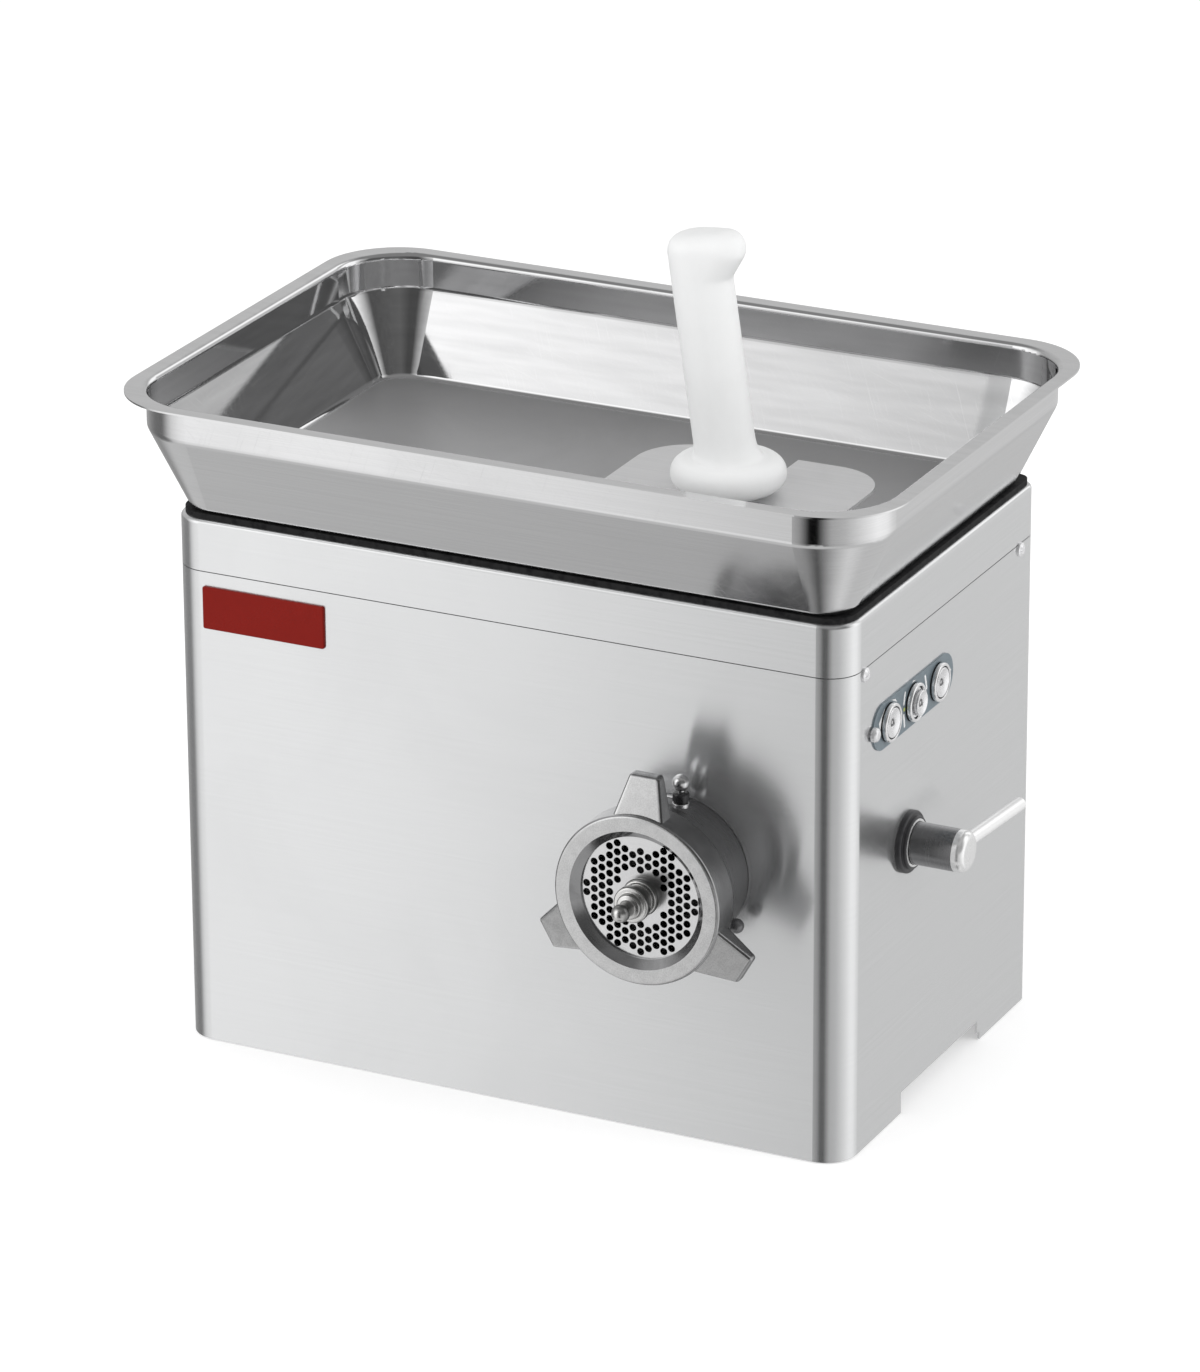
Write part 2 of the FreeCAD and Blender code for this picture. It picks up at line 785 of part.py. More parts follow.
# Grinding head
def head_barrel():
    place = (head_x, head_z)
    body = joined([rod("y", place, thread_r, barrel_front, ring_back),
                   rod("y", place, barrel_r, ring_back, shoulder_y),
                   rod("y", place, spigot_r, shoulder_y, barrel_back)])
    recess_end = auger_front + knife_room
    cuts = [rod("y", place, plate_r + plate_fit, barrel_front - 1, recess_end),
            rod("y", place, bore_r, recess_end - 1, barrel_bore_end),
            rod("y", place, auger_shank_r + run_fit, barrel_bore_end - 1, barrel_back + 1),
            rod("z", (head_x, throat_y), throat_bore_r, head_z, head_z + barrel_r + 1)]
    body = body.cut(Part.makeCompound(cuts[:2])).cut(cuts[2]).cut(cuts[3])
    return body.cut(plate_key())


def plate_key():
    # short pin in the barrel's mouth that stops the plate from turning
    return rod("z", (head_x, barrel_front + key_r), key_r, head_z + plate_r - key_in + 1,
               head_z + thread_r - 1)


def barrel_post():
    # upright post on top of the barrel: collar, ball and a thin cross pin
    x = head_x + post_aside
    y = case_front - post_ahead
    seat = head_z + sqrt(barrel_r ** 2 - post_aside ** 2)
    top = seat + post_collar_h
    collar = rod("z", (x, y), post_collar_r, head_z, top)
    pin = rod("x", (y, seat + post_pin_h), post_pin_r, x - post_pin_len, x).cut(collar)
    collar = collar.cut(rod("y", (head_x, head_z), barrel_r, ring_front, shoulder_y))
    ball_z = top + post_stem_h + post_ball_r
    stem = rod("z", (x, y), post_stem_r, top, ball_z)
    ball = Part.makeSphere(post_ball_r, Vector(x, y, ball_z))
    return collar, joined([stem, ball]), pin


def barrel_studs():
    studs = []
    y = case_front - stud_ahead
    for angle in stud_angles:
        centre = head_x + barrel_r + stud_out
        ball = Part.makeSphere(stud_ball_r, Vector(centre, y, head_z))
        shank = rod("x", (y, head_z), stud_ball_r * 0.6, head_x + barrel_r - stud_ball_r, centre)
        stud = joined([ball, shank]).cut(rod("y", (head_x, head_z), barrel_r, ring_front, barrel_back))
        studs.append(around(stud, angle))
    return studs


def ring_nut():
    place = (head_x, head_z)
    body = rod("y", place, ring_r, ring_front, ring_back)
    body = rounded_edges(body, ring_edge_r, lambda e: e.BoundBox.YLength < 0.01)
    wings = [around(wing(), 90 + k * 360 / wing_count) for k in range(wing_count)]
    body = joined([body] + wings)
    lip_end = ring_front + ring_lip
    mouth = [(ring_front - 1, ring_open_r + ring_chamfer + 1), (ring_front + ring_chamfer, ring_open_r),
             (lip_end + 1, ring_open_r)]
    body = body.cut(turned("y", place, mouth))
    return body.cut(rod("y", place, thread_r + thread_gap, lip_end, ring_back + 1))


def wing():
    # drawn along +X from the ring's axis, swept back at its tip
    base = ring_r - wing_root_in
    def section(r, width, thick, front):
        corners = [(front, -0.5), (front, 0.5), (front + thick, 0.5), (front + thick, -0.5)]
        points = [Vector(head_x + r, y, head_z + side * width) for y, side in corners]
        return Part.makePolygon(points + [points[0]])
    root = section(base, wing_base_w, wing_base_t, ring_front + ring_edge_r)
    tip = section(wing_tip_r, wing_tip_w, wing_tip_t, ring_front + wing_sweep)
    solid = Part.makeLoft([root, tip], True, True)
    return rounded_edges(solid, wing_edge_r, lambda e: e.CenterOfMass.x > head_x + base + 1)


def perforated_plate():
    place = (head_x, head_z)
    back = plate_front + plate_t
    disc = rod("y", place, plate_r, plate_front, back)
    cuts = [rod("y", place, spindle_r + plate_fit, plate_front - 1, back + 1)]
    notch = key_r + plate_fit
    cuts.append(box(head_x - notch, head_x + notch, plate_front - 1, back + 1,
                    head_z + plate_r - key_in, head_z + plate_r + 1))
    col_step = hole_pitch * sqrt(3) / 2
    cols = int(plate_r / col_step)
    for col in range(-cols, cols + 1):
        for row in range(-cols - 1, cols + 2):
            x = col * col_step
            z = (row + (col % 2) / 2) * hole_pitch
            r = sqrt(x * x + z * z)
            by_key = abs(x) < hole_pitch and z > plate_r - hole_rim - hole_pitch
            if hole_inner_r < r < plate_r - hole_rim and not by_key:
                cuts.append(rod("y", (head_x + x, head_z + z), hole_r, plate_front - 1, back + 1))
    return disc.cut(Part.makeCompound(cuts))


def knife():
    place = (head_x, head_z)
    hub = rod("y", place, knife_hub_r, knife_front, auger_front)
    arms = []
    for k in range(knife_arms):
        low = knife_front + knife_t * 0.1
        points = [Vector(head_x, knife_front, head_z - knife_arm_w / 2),
                  Vector(head_x, knife_front, head_z + knife_arm_w / 2),
                  Vector(head_x, auger_front, head_z + knife_arm_w / 2),
                  Vector(head_x, low + knife_t * 0.6, head_z - knife_arm_w / 2)]
        face = Part.Face(Part.makePolygon(points + [points[0]]))
        arms.append(around(face.extrude(Vector(knife_r, 0, 0)), k * 360 / knife_arms))
    body = joined([hub] + arms).common(rod("y", place, knife_r, knife_front, auger_front))
    return body.cut(spindle_block(knife_front - 1, auger_front + 1))


def spindle_block(y0, y1):
    half = spindle_square / 2
    return box(head_x - half, head_x + half, y0, y1, head_z - half, head_z + half)


def auger_spindle():
    # square that drives the knife, then the turned nose that shows in the plate
    boss = plate_front - spindle_boss
    groove = boss - spindle_groove
    collar = groove - spindle_collar
    shoulder = collar - spindle_shoulder
    tip = shoulder - spindle_neck
    profile = [(knife_front, spindle_r), (boss, spindle_r), (boss, spindle_groove_r),
               (groove, spindle_groove_r), (groove, spindle_collar_r), (collar + 1, spindle_collar_r),
               (collar, spindle_collar_r - 1), (collar, spindle_shoulder_r), (shoulder, spindle_shoulder_r),
               (shoulder - 1, spindle_neck_r), (tip, spindle_neck_r)]
    nose = turned("y", (head_x, head_z), profile)
    ball = Part.makeSphere(spindle_ball_r, Vector(head_x, tip, head_z))
    return joined([nose, ball, spindle_block(knife_front - 0.5, auger_front)])


def auger():
    place = (head_x, head_z)
    shank_start = barrel_bore_end - face_gap
    core = joined([rod("y", place, auger_core_r, auger_front, shank_start),
                   rod("y", place, auger_shank_r, shank_start, barrel_back),
                   hexagon(auger_hex, head_x, head_z, barrel_back, barrel_back + auger_hex_len)])
    height = auger_pitch * auger_turns
    helix = Part.makeHelix(auger_pitch, height, auger_r)
    inner = auger_core_r - 2.0
    half = auger_flight_t / 2
    points = [Vector(inner, 0, -half), Vector(auger_r, 0, -half * 0.6), Vector(auger_r, 0, half * 0.6),
              Vector(inner, 0, half)]
    profile = Part.makePolygon(points + [points[0]])
    flight = Part.Wire(helix.Edges).makePipeShell([profile], True, True)
    flight.rotate(Vector(0, 0, 0), Vector(1, 0, 0), -90)
    flight.translate(Vector(head_x, auger_front + auger_flight_t, head_z))
    return joined([core, flight])


# Sleeve and clamp
def head_sleeve():
    place = (head_x, head_z)
    front = case_front + case_sheet + sleeve_front_gap
    tube = rod("y", place, sleeve_r, front, box_front)
    flange = rod("y", place, sleeve_flange_r, box_front - sleeve_flange_t, box_front)
    boss = rod("x", (clamp_y, clamp_z), clamp_boss_r, head_x, head_x + clamp_boss_out)
    body = joined([tube, flange, boss])
    body = body.cut(rod("y", place, sleeve_bore_r, front - 1, box_front + 1))
    body = body.cut(rod("z", (head_x, throat_y), throat_r + throat_gap, head_z, head_z + sleeve_r + 1))
    body = body.cut(rod("x", (clamp_y, clamp_z), clamp_r + run_fit, head_x, head_x + clamp_boss_out + 1))
    for x, z in sleeve_bolt_places():
        body = body.cut(rod("y", (x, z), box_bolt_r, box_front - sleeve_flange_t - 1, box_front + 1))
    return body


def sleeve_bolt_places():
    r = (sleeve_r + sleeve_flange_r) / 2
    return [(head_x + r * cos(radians(a)), head_z + r * sin(radians(a))) for a in (45, 135, 225, 315)]


def clamp_pad():
    start = head_x + spigot_r + clamp_tip_gap
    return rod("x", (clamp_y, clamp_z), clamp_r, start, start + clamp_pad_len)


def clamp_head_end():
    return case_side + bush_flange_t + bush_step_t + face_gap + clamp_head_len


def clamp_screw():
    place = (clamp_y, clamp_z)
    start = head_x + spigot_r + clamp_tip_gap + clamp_pad_len
    shoulder = clamp_head_end() - clamp_head_len
    shaft = rod("x", place, clamp_r, start, shoulder)
    head = rod("x", place, clamp_head_r, shoulder, clamp_head_end())
    end = clamp_head_end()
    head = rounded_edges(head, clamp_head_edge_r, lambda e: e.BoundBox.XMin > end - 0.01)
    return joined([shaft, head]).cut(clamp_rod())


def clamp_rod():
    start = clamp_y
    end = clamp_y + clamp_head_r + clamp_rod_out
    bar = rod("y", (clamp_head_end() - clamp_rod_from_end, clamp_z), clamp_rod_r, start, end)
    bar = rounded_edges(bar, clamp_rod_r * 0.4, lambda e: e.BoundBox.YMin > end - 0.01)
    bar.rotate(Vector(0, clamp_y, clamp_z), Vector(1, 0, 0), -clamp_rod_droop)
    return bar


def lever_bush():
    step = case_side + bush_flange_t
    profile = [(case_side - case_sheet - bush_spigot, bush_spigot_r), (case_side, bush_spigot_r),
               (case_side, bush_r), (step - bush_edge_r, bush_r), (step, bush_r - bush_edge_r),
               (step, bush_step_r), (step + bush_step_t, bush_step_r - bush_edge_r)]
    body = turned("x", (clamp_y, clamp_z), profile)
    return body.cut(rod("x", (clamp_y, clamp_z), clamp_r + bush_play, 0, step + bush_step_t + 1))


# Buttons
def button_places():
    return [button_y + k * button_pitch for k in (-1, 0, 1)]


def plate_stud_place():
    return button_y - plate_stud_along, button_z


def button_plate():
    straight = (button_plate_len - button_plate_w) / 2
    r = button_plate_w / 2
    plate = joined([box(case_side, button_face, button_y - straight, button_y + straight, button_z - r,
                        button_z + r),
                    rod("x", (button_y - straight, button_z), r, case_side, button_face),
                    rod("x", (button_y + straight, button_z), r, case_side, button_face)])
    for y in button_places():
        plate = plate.cut(rod("x", (y, button_z), button_r + button_gap, case_side - 1, button_face + 1))
    return plate.cut(rod("x", plate_stud_place(), screw_r, case_side - 1, button_face + 1))


def plate_stud():
    top = button_face + plate_stud_h
    head = rod("x", plate_stud_place(), plate_stud_r, button_face, top)
    head = rounded_edges(head, plate_stud_h * 0.7, lambda e: e.BoundBox.XMin > top - 0.01)
    return joined([head, rod("x", plate_stud_place(), screw_r, case_side - screw_len / 2, button_face)])


def button_bezels():
    bezels = []
    for y in button_places():
        top = button_face + bezel_h
        ring = rod("x", (y, button_z), bezel_r, button_face, top)
        ring = rounded_edges(ring, bezel_h * 0.4, lambda e: e.BoundBox.XMin > top - 0.01)
        bezels.append(ring.cut(rod("x", (y, button_z), button_r + button_gap, button_face - 1, top + 1)))
    return bezels


def button(y, out, r):
    # dished cap in its bezel; a stop button stands out and is a little smaller
    place = (y, button_z)
    back = case_side - case_sheet - block_neck + button_travel + button_gap
    face = button_face + bezel_h + out
    guide = rod("x", place, button_r, back, button_face + bezel_h * 0.5)
    cap = rod("x", place, r, button_face, face)
    body = joined([guide, cap])
    dish = Part.makeSphere(button_dish_r, Vector(face + button_dish_r - button_gap * 3, y, button_z))
    return body.cut(dish)


def switch_blocks():
    blocks = []
    inner = case_side - case_sheet
    for y in button_places():
        neck = rod("x", (y, button_z), block_neck_r, inner - block_neck, inner)
        neck = neck.cut(rod("x", (y, button_z), button_r + button_gap, inner - block_neck, inner + 1))
        back = inner - block_neck - block_d
        body = box(back, inner - block_neck, y - block_w / 2, y + block_w / 2, button_z - block_h / 2,
                   button_z + block_h / 2)
        blocks.append(joined([neck, body]))
    return blocks


# Gears and shafts
def gear(module, teeth, x, z, y0, width, phase, bore_r):
    # spur gear with arcs for the involute flanks; phase is a tooth's angle from +X towards +Z
    pitch_r = module * teeth / 2
    base_r = pitch_r * cos(radians(20))
    tip_r = pitch_r + module
    root_r = pitch_r - 1.25 * module
    start_r = max(base_r, root_r)
    involute = tan(radians(20)) - radians(20)
    half_tooth = pi / (2 * teeth) - backlash / (4 * pitch_r)

    def flank(r):
        angle = acos(min(1.0, base_r / r))
        return half_tooth + involute - (tan(angle) - angle)

    def point(r, angle):
        return Vector(x + r * cos(angle), y0, z + r * sin(angle))

    edges = []
    mid_r = (start_r + tip_r) / 2
    step = 2 * pi / teeth
    for k in range(teeth):
        middle = phase + k * step
        root_a = point(root_r, middle - flank(start_r))
        rise = [point(r, middle - flank(r)) for r in (start_r, mid_r, tip_r)]
        fall = [point(r, middle + flank(r)) for r in (tip_r, mid_r, start_r)]
        root_b = point(root_r, middle + flank(start_r))
        root_next = point(root_r, middle + step - flank(start_r))
        if start_r > root_r:
            edges.append(Part.makeLine(root_a, rise[0]))
        edges.append(Part.Arc(*rise).toShape())
        edges.append(Part.makeLine(rise[2], fall[0]))
        edges.append(Part.Arc(*fall).toShape())
        if start_r > root_r:
            edges.append(Part.makeLine(fall[2], root_b))
        edges.append(Part.makeLine(root_b if start_r > root_r else fall[2],
                                   root_next if start_r > root_r else
                                   point(start_r, middle + step - flank(start_r))))
    solid = Part.Face(Part.Wire(edges)).extrude(Vector(0, width, 0))
    if bore_r:
        solid = solid.cut(rod("y", (x, z), bore_r, y0 - 1, y0 + width + 1))
    return solid


def out_bearing_y():
    front = box_front + seal_w_shaft
    rear = box_back + box_cover_t - bearing_back_wall - bearing_w
    return front, rear


def lay_bearing_y():
    return box_front + bearing_back_wall, out_bearing_y()[1]


def output_shaft():
    front, rear = out_bearing_y()
    nose = barrel_back + out_nose_gap
    profile = [(nose, out_nose_r), (front + bearing_w, out_nose_r), (front + bearing_w, out_seat_r),
               (rear, out_seat_r), (rear, out_tail_r), (rear + bearing_w, out_tail_r)]
    shaft = turned("y", (head_x, head_z), profile)
    return shaft.cut(hexagon(auger_hex + 2 * hex_gap, head_x, head_z, nose - 1,
                             barrel_back + auger_hex_len + socket_room))


def output_gear():
    return gear(out_module, out_teeth, head_x, head_z, out_gear_y, out_face, radians(lay_angle), out_seat_r)


def layshaft():
    front, rear = lay_bearing_y()
    profile = [(front, lay_journal_r), (front + bearing_w, lay_journal_r), (front + bearing_w, lay_shaft_r),
               (rear, lay_shaft_r), (rear, lay_journal_r), (rear + bearing_w, lay_journal_r)]
    shaft = turned("y", (lay_x, lay_z), profile)
    phase = radians(lay_angle) + pi + pi / lay_pinion_teeth
    pinion = gear(out_module, lay_pinion_teeth, lay_x, lay_z, out_gear_y - face_extra / 2,
                  out_face + face_extra, phase, 0)
    return joined([shaft, pinion])


def layshaft_gear():
    return gear(in_module, lay_teeth, lay_x, lay_z, in_gear_y, in_face, radians(motor_angle), lay_shaft_r)


def motor_bearing_y():
    return motor_front + motor_end_t - bearing_w + rotor_bearing_in, box_front - bearing_w - bearing_back_wall


def rotor_shaft():
    front = motor_front - fan_gap - fan_t
    pinion_y = in_gear_y - face_extra / 2
    shaft = rod("y", (motor_x, motor_z), rotor_shaft_r, front, pinion_y + in_face + face_extra)
    phase = radians(motor_angle) + pi + pi / motor_teeth
    pinion = gear(in_module, motor_teeth, motor_x, motor_z, pinion_y, in_face + face_extra, phase, 0)
    return joined([shaft, pinion])


def ring_y(x, z, outer_r, inner_r, y0, y1):
    return rod("y", (x, z), outer_r, y0, y1).cut(rod("y", (x, z), inner_r, y0 - 1, y1 + 1))


def bearings(x, z, sizes):
    # sizes lists (start, bore radius, outer radius)
    return [ring_y(x, z, outer, inner + run_fit, y, y + bearing_w) for y, inner, outer in sizes]


def output_bearings():
    front, rear = out_bearing_y()
    return bearings(head_x, head_z, ((front, out_nose_r, out_bearing_r),
                                     (rear, out_tail_r, out_tail_bearing_r)))


def layshaft_bearings():
    return bearings(lay_x, lay_z, [(y, lay_journal_r, lay_bearing_r) for y in lay_bearing_y()])


def motor_bearings():
    return bearings(motor_x, motor_z, [(y, rotor_shaft_r, rotor_bearing_r) for y in motor_bearing_y()])


def oil_seal():
    return ring_y(head_x, head_z, out_bearing_r, out_nose_r + run_fit, box_front, box_front + seal_w_shaft)


# Gearbox
def box_outline(inset, y0, y1):
    face = Part.Face(rounded_wire(box_left + inset, box_right - inset, box_bottom + inset, box_top - inset,
                                  0, box_corner_r - inset, box_corner_r - inset))
    solid = face.extrude(Vector(0, 0, y1 - y0))
    solid.rotate(Vector(0, 0, 0), Vector(1, 0, 0), 90)
    solid.translate(Vector(0, y1, 0))
    return solid


def box_bolt_places():
    inset = box_wall / 2
    middle = (box_left + box_right) / 2
    places = [(x, z) for z in (box_bottom + inset, box_top - inset)
              for x in (box_left + box_corner_r, middle, box_right - box_corner_r)]
    height = (box_bottom + box_top) / 2
    return places + [(box_left + inset, height), (box_right - inset, height)]


def gearbox_housing():
    body = box_outline(0, box_front, box_back)
    inner_front = box_front + box_wall
    body = body.cut(box_outline(box_wall, inner_front, box_back + 1))
    front = out_bearing_y()[0]
    lay_front = lay_bearing_y()[0]
    bosses = [rod("y", (head_x, head_z), out_bearing_r + bearing_wall, box_front, front + bearing_w),
              rod("y", (lay_x, lay_z), lay_bearing_r + bearing_wall, box_front, lay_front + bearing_w)]
    body = joined([body] + bosses)
    body = body.cut(rod("y", (head_x, head_z), out_bearing_r, box_front - 1, front + bearing_w + 1))
    body = body.cut(rod("y", (lay_x, lay_z), lay_bearing_r, lay_front, lay_front + bearing_w + 1))
    body = body.cut(rod("y", (motor_x, motor_z), motor_pitch_r + 2 * in_module, box_front - 1,
                        inner_front + 1))
    for x, z in sleeve_bolt_places():
        body = body.cut(rod("y", (x, z), box_bolt_r, box_front - 1, inner_front - box_blind))
    for x, z in box_bolt_places():
        body = body.cut(rod("y", (x, z), box_bolt_r * 0.75, box_back - box_bolt_len, box_back + 1))
    return body


def gearbox_cover():
    body = box_outline(0, box_back, box_back + box_cover_t)
    rear = out_bearing_y()[1]
    seats = ((head_x, head_z, out_tail_bearing_r), (lay_x, lay_z, lay_bearing_r))
    bosses = [rod("y", (x, z), r + bearing_wall, rear, box_back + box_cover_t) for x, z, r in seats]
    body = joined([body] + bosses)
    for x, z, r in seats:
        body = body.cut(rod("y", (x, z), r, rear - 1, rear + bearing_w))
    for x, z in box_bolt_places():
        body = body.cut(rod("y", (x, z), box_bolt_r * 0.75, box_back - 1, box_back + box_cover_t + 1))
    return body


def hex_bolt(x, z, seat, way, shank_r, shank_len):
    tip = seat - way * shank_len
    top = seat + way * box_bolt_head_h
    head = hexagon(2 * box_bolt_head_r * cos(pi / 6), x, z, min(seat, top), max(seat, top))
    return joined([rod("y", (x, z), shank_r, min(seat, tip), max(seat, tip)), head])


def gearbox_bolts():
    back = box_back + box_cover_t
    return [hex_bolt(x, z, back, 1, box_bolt_r * 0.75, box_bolt_len) for x, z in box_bolt_places()]


def sleeve_bolts():
    seat = box_front - sleeve_flange_t
    shank_len = sleeve_flange_t + box_wall - box_blind
    return [hex_bolt(x, z, seat, -1, box_bolt_r, shank_len) for x, z in sleeve_bolt_places()]


def gearbox_pedestal():
    middle = (box_left + box_right) / 2
    x0 = middle - pedestal_w / 2
    x1 = middle + pedestal_w / 2
    y0 = (box_front + box_back) / 2 - pedestal_d / 2
    y1 = y0 + pedestal_d
    t = pedestal_t
    pieces = [box(x0, x1, y0, y1, box_bottom - t, box_bottom)]
    for x, way in ((x0, -1), (x1 - t, 1)):
        pieces.append(box(x, x + t, y0, y1, base_top, box_bottom))
        foot = x - pedestal_foot + t if way < 0 else x
        pieces.append(box(foot, foot + pedestal_foot, y0, y1, base_top, base_top + t))
    return joined(pieces)


# Motor
def motor_housing():
    place = (motor_x, motor_z)
    body = rod("y", place, motor_r - fin_h, motor_front, box_front)
    fins = []
    for k in range(motor_fins):
        fin = box(motor_x, motor_x + motor_r, motor_front + motor_end_t, box_front - motor_end_t,
                  motor_z - fin_t / 2, motor_z + fin_t / 2)
        fin.rotate(Vector(motor_x, 0, motor_z), Vector(0, 1, 0), k * 360 / motor_fins)
        fins.append(fin)
    body = joined([body] + fins)
    inner = motor_r - fin_h - motor_wall
    cavity = rod("y", place, inner, motor_front + motor_end_t, box_front - motor_end_t)
    front, rear = motor_bearing_y()
    seats = [rod("y", place, rotor_bearing_r, front, motor_front + motor_end_t + 1),
             rod("y", place, rotor_bearing_r, box_front - motor_end_t - 1, rear + bearing_w)]
    bosses = [ring_y(motor_x, motor_z, rotor_bearing_r + bearing_wall, rotor_bearing_r,
                     motor_front + motor_end_t - 1, front + bearing_w),
              ring_y(motor_x, motor_z, rotor_bearing_r + bearing_wall, rotor_bearing_r,
                     rear, box_front - motor_end_t + 1)]
    shaft_hole = rod("y", place, rotor_shaft_r + rotor_hole_gap, motor_front - 1, box_front + 1)
    body = body.cut(cavity)
    body = joined([body] + bosses)
    return body.cut(seats[0]).cut(seats[1]).cut(shaft_hole)


def pack_y():
    middle = (motor_front + box_front) / 2
    return middle - pack_len / 2, middle + pack_len / 2


def motor_stator():
    start, end = pack_y()
    return ring_y(motor_x, motor_z, motor_r - fin_h - motor_wall, rotor_r + air_gap,
                  start - stator_extra / 2, end + stator_extra / 2)


def motor_rotor():
    start, end = pack_y()
    return ring_y(motor_x, motor_z, rotor_r, rotor_shaft_r, start, end)


def motor_fan():
    start = motor_front - fan_gap - fan_t
    place = (motor_x, motor_z)
    hub = rod("y", place, fan_hub_r, start, start + fan_t)
    disc = rod("y", place, fan_r, start + fan_t - fan_sheet, start + fan_t)
    blades = []
    for k in range(fan_blades):
        blade = box(motor_x, motor_x + fan_r, start, start + fan_t,
                    motor_z - fan_sheet / 2, motor_z + fan_sheet / 2)
        blade.rotate(Vector(motor_x, 0, motor_z), Vector(0, 1, 0), k * 360 / fan_blades)
        blades.append(blade.common(rod("y", place, fan_r, start, start + fan_t)))
    body = joined([hub, disc] + blades)
    return body.cut(rod("y", place, rotor_shaft_r, start - 1, start + fan_t + 1))


def motor_fan_cover():
    place = (motor_x, motor_z)
    lap = motor_front + motor_end_t - sheet_fit
    front = motor_front - fan_cover_len
    outer = motor_r - fin_h + fan_cover_sheet
    body = rod("y", place, outer, front, lap)
    body = body.cut(rod("y", place, motor_r - fin_h, front + fan_cover_sheet, lap + 1))
    holes = []
    for ring in range(2, grille_rings + 1):
        r = ring * grille_pitch
        count = ring * 6
        for k in range(count):
            angle = 2 * pi * k / count
            holes.append(rod("y", (motor_x + r * cos(angle), motor_z + r * sin(angle)), grille_hole_r,
                             front - 1, front + fan_cover_sheet + 1))
    return body.cut(Part.makeCompound(holes))


# Controls
def control_plate():
    x0 = control_x - control_w / 2
    upright = box(x0, x0 + control_w, control_y, control_y + control_sheet, base_top, base_top + control_h)
    foot = box(x0, x0 + control_w, control_y, control_y + terminal_d, base_top, base_top + control_sheet)
    return joined([upright, foot])


def contactor():
    z0 = base_top + control_h - contactor_h - rail_gap
    x0 = control_x - contactor_w / 2
    body = box(x0, x0 + contactor_w, control_y - contactor_d, control_y, z0, z0 + contactor_h)
    step = contactor_h * 0.22
    cuts = []
    for z in (z0 - 1, z0 + contactor_h - step):
        cuts.append(box(x0 - 1, x0 + contactor_w + 1, control_y - contactor_d - 1,
                        control_y - contactor_d * 0.6, z, z + step + 1))
    return body.cut(Part.makeCompound(cuts))


def terminal_block():
    x0 = control_x - terminal_w / 2
    z0 = base_top + rail_gap
    body = box(x0, x0 + terminal_w, control_y - terminal_d, control_y, z0, z0 + terminal_h)
    step = terminal_w / terminal_ways
    cuts = []
    for k in range(terminal_ways):
        x = x0 + (k + 0.5) * step
        cuts.append(rod("y", (x, z0 + terminal_h / 2), step * 0.28, control_y - terminal_d - 1,
                        control_y - terminal_d * 0.5))
    return body.cut(Part.makeCompound(cuts))


# Everything is made and written
post = barrel_post()
first_y, stop_y, last_y = button_places()

for node, solids in (
        ("casing_shell", casing_shell()),
        ("back_panel", back_panel()),
        ("cable_gland", cable_gland()),
        ("top_cover", top_cover()),
        ("cover_screws", cover_screws()),
        ("back_screws", back_screws()),
        ("base_plate", base_plate()),
        ("rubber_feet", rubber_feet()),
        ("badge", badge()),
        ("tray", tray()),
        ("tray_seal", tray_seal()),
        ("throat_tube", throat_tube()),
        ("throat_guard", throat_guard()),
        ("guard_legs", guard_legs()),
        ("pusher", pusher()),
        ("head_barrel", head_barrel()),
        ("plate_key", plate_key()),
        ("post_collar", post[0]),
        ("post_ball", post[1]),
        ("post_pin", post[2]),
        ("barrel_studs", barrel_studs()),
        ("ring_nut", ring_nut()),
        ("perforated_plate", perforated_plate()),
        ("knife", knife()),
        ("auger_spindle", auger_spindle()),
        ("auger", auger()),
        ("head_sleeve", head_sleeve()),
        ("sleeve_bolts", sleeve_bolts()),
        ("clamp_pad", clamp_pad()),
        ("clamp_screw", clamp_screw()),
        ("clamp_rod", clamp_rod()),
        ("lever_bush", lever_bush()),
        ("button_plate", button_plate()),
        ("plate_stud", plate_stud()),
        ("button_bezels", button_bezels()),
        ("start_button", button(first_y, 0, button_r)),
        ("stop_button", button(stop_y, stop_out, stop_r)),
        ("reverse_button", button(last_y, 0, button_r)),
        ("switch_blocks", switch_blocks()),
        ("output_shaft", output_shaft()),
        ("output_gear", output_gear()),
        ("output_bearings", output_bearings()),
        ("oil_seal", oil_seal()),
        ("layshaft", layshaft()),
        ("layshaft_gear", layshaft_gear()),
        ("layshaft_bearings", layshaft_bearings()),
        ("gearbox_housing", gearbox_housing()),
        ("gearbox_cover", gearbox_cover()),
        ("gearbox_bolts", gearbox_bolts()),
        ("gearbox_pedestal", gearbox_pedestal()),
        ("motor_housing", motor_housing()),
        ("motor_stator", motor_stator()),
        ("motor_rotor", motor_rotor()),
        ("rotor_shaft", rotor_shaft()),
        ("motor_bearings", motor_bearings()),
        ("motor_fan", motor_fan()),
        ("motor_fan_cover", motor_fan_cover()),
        ("control_plate", control_plate()),
        ("contactor", contactor()),
        ("terminal_block", terminal_block())):
    save(node, solids)
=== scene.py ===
import bpy
import bmesh
import json
import math
from mathutils import Matrix, Vector
from types import SimpleNamespace as Values

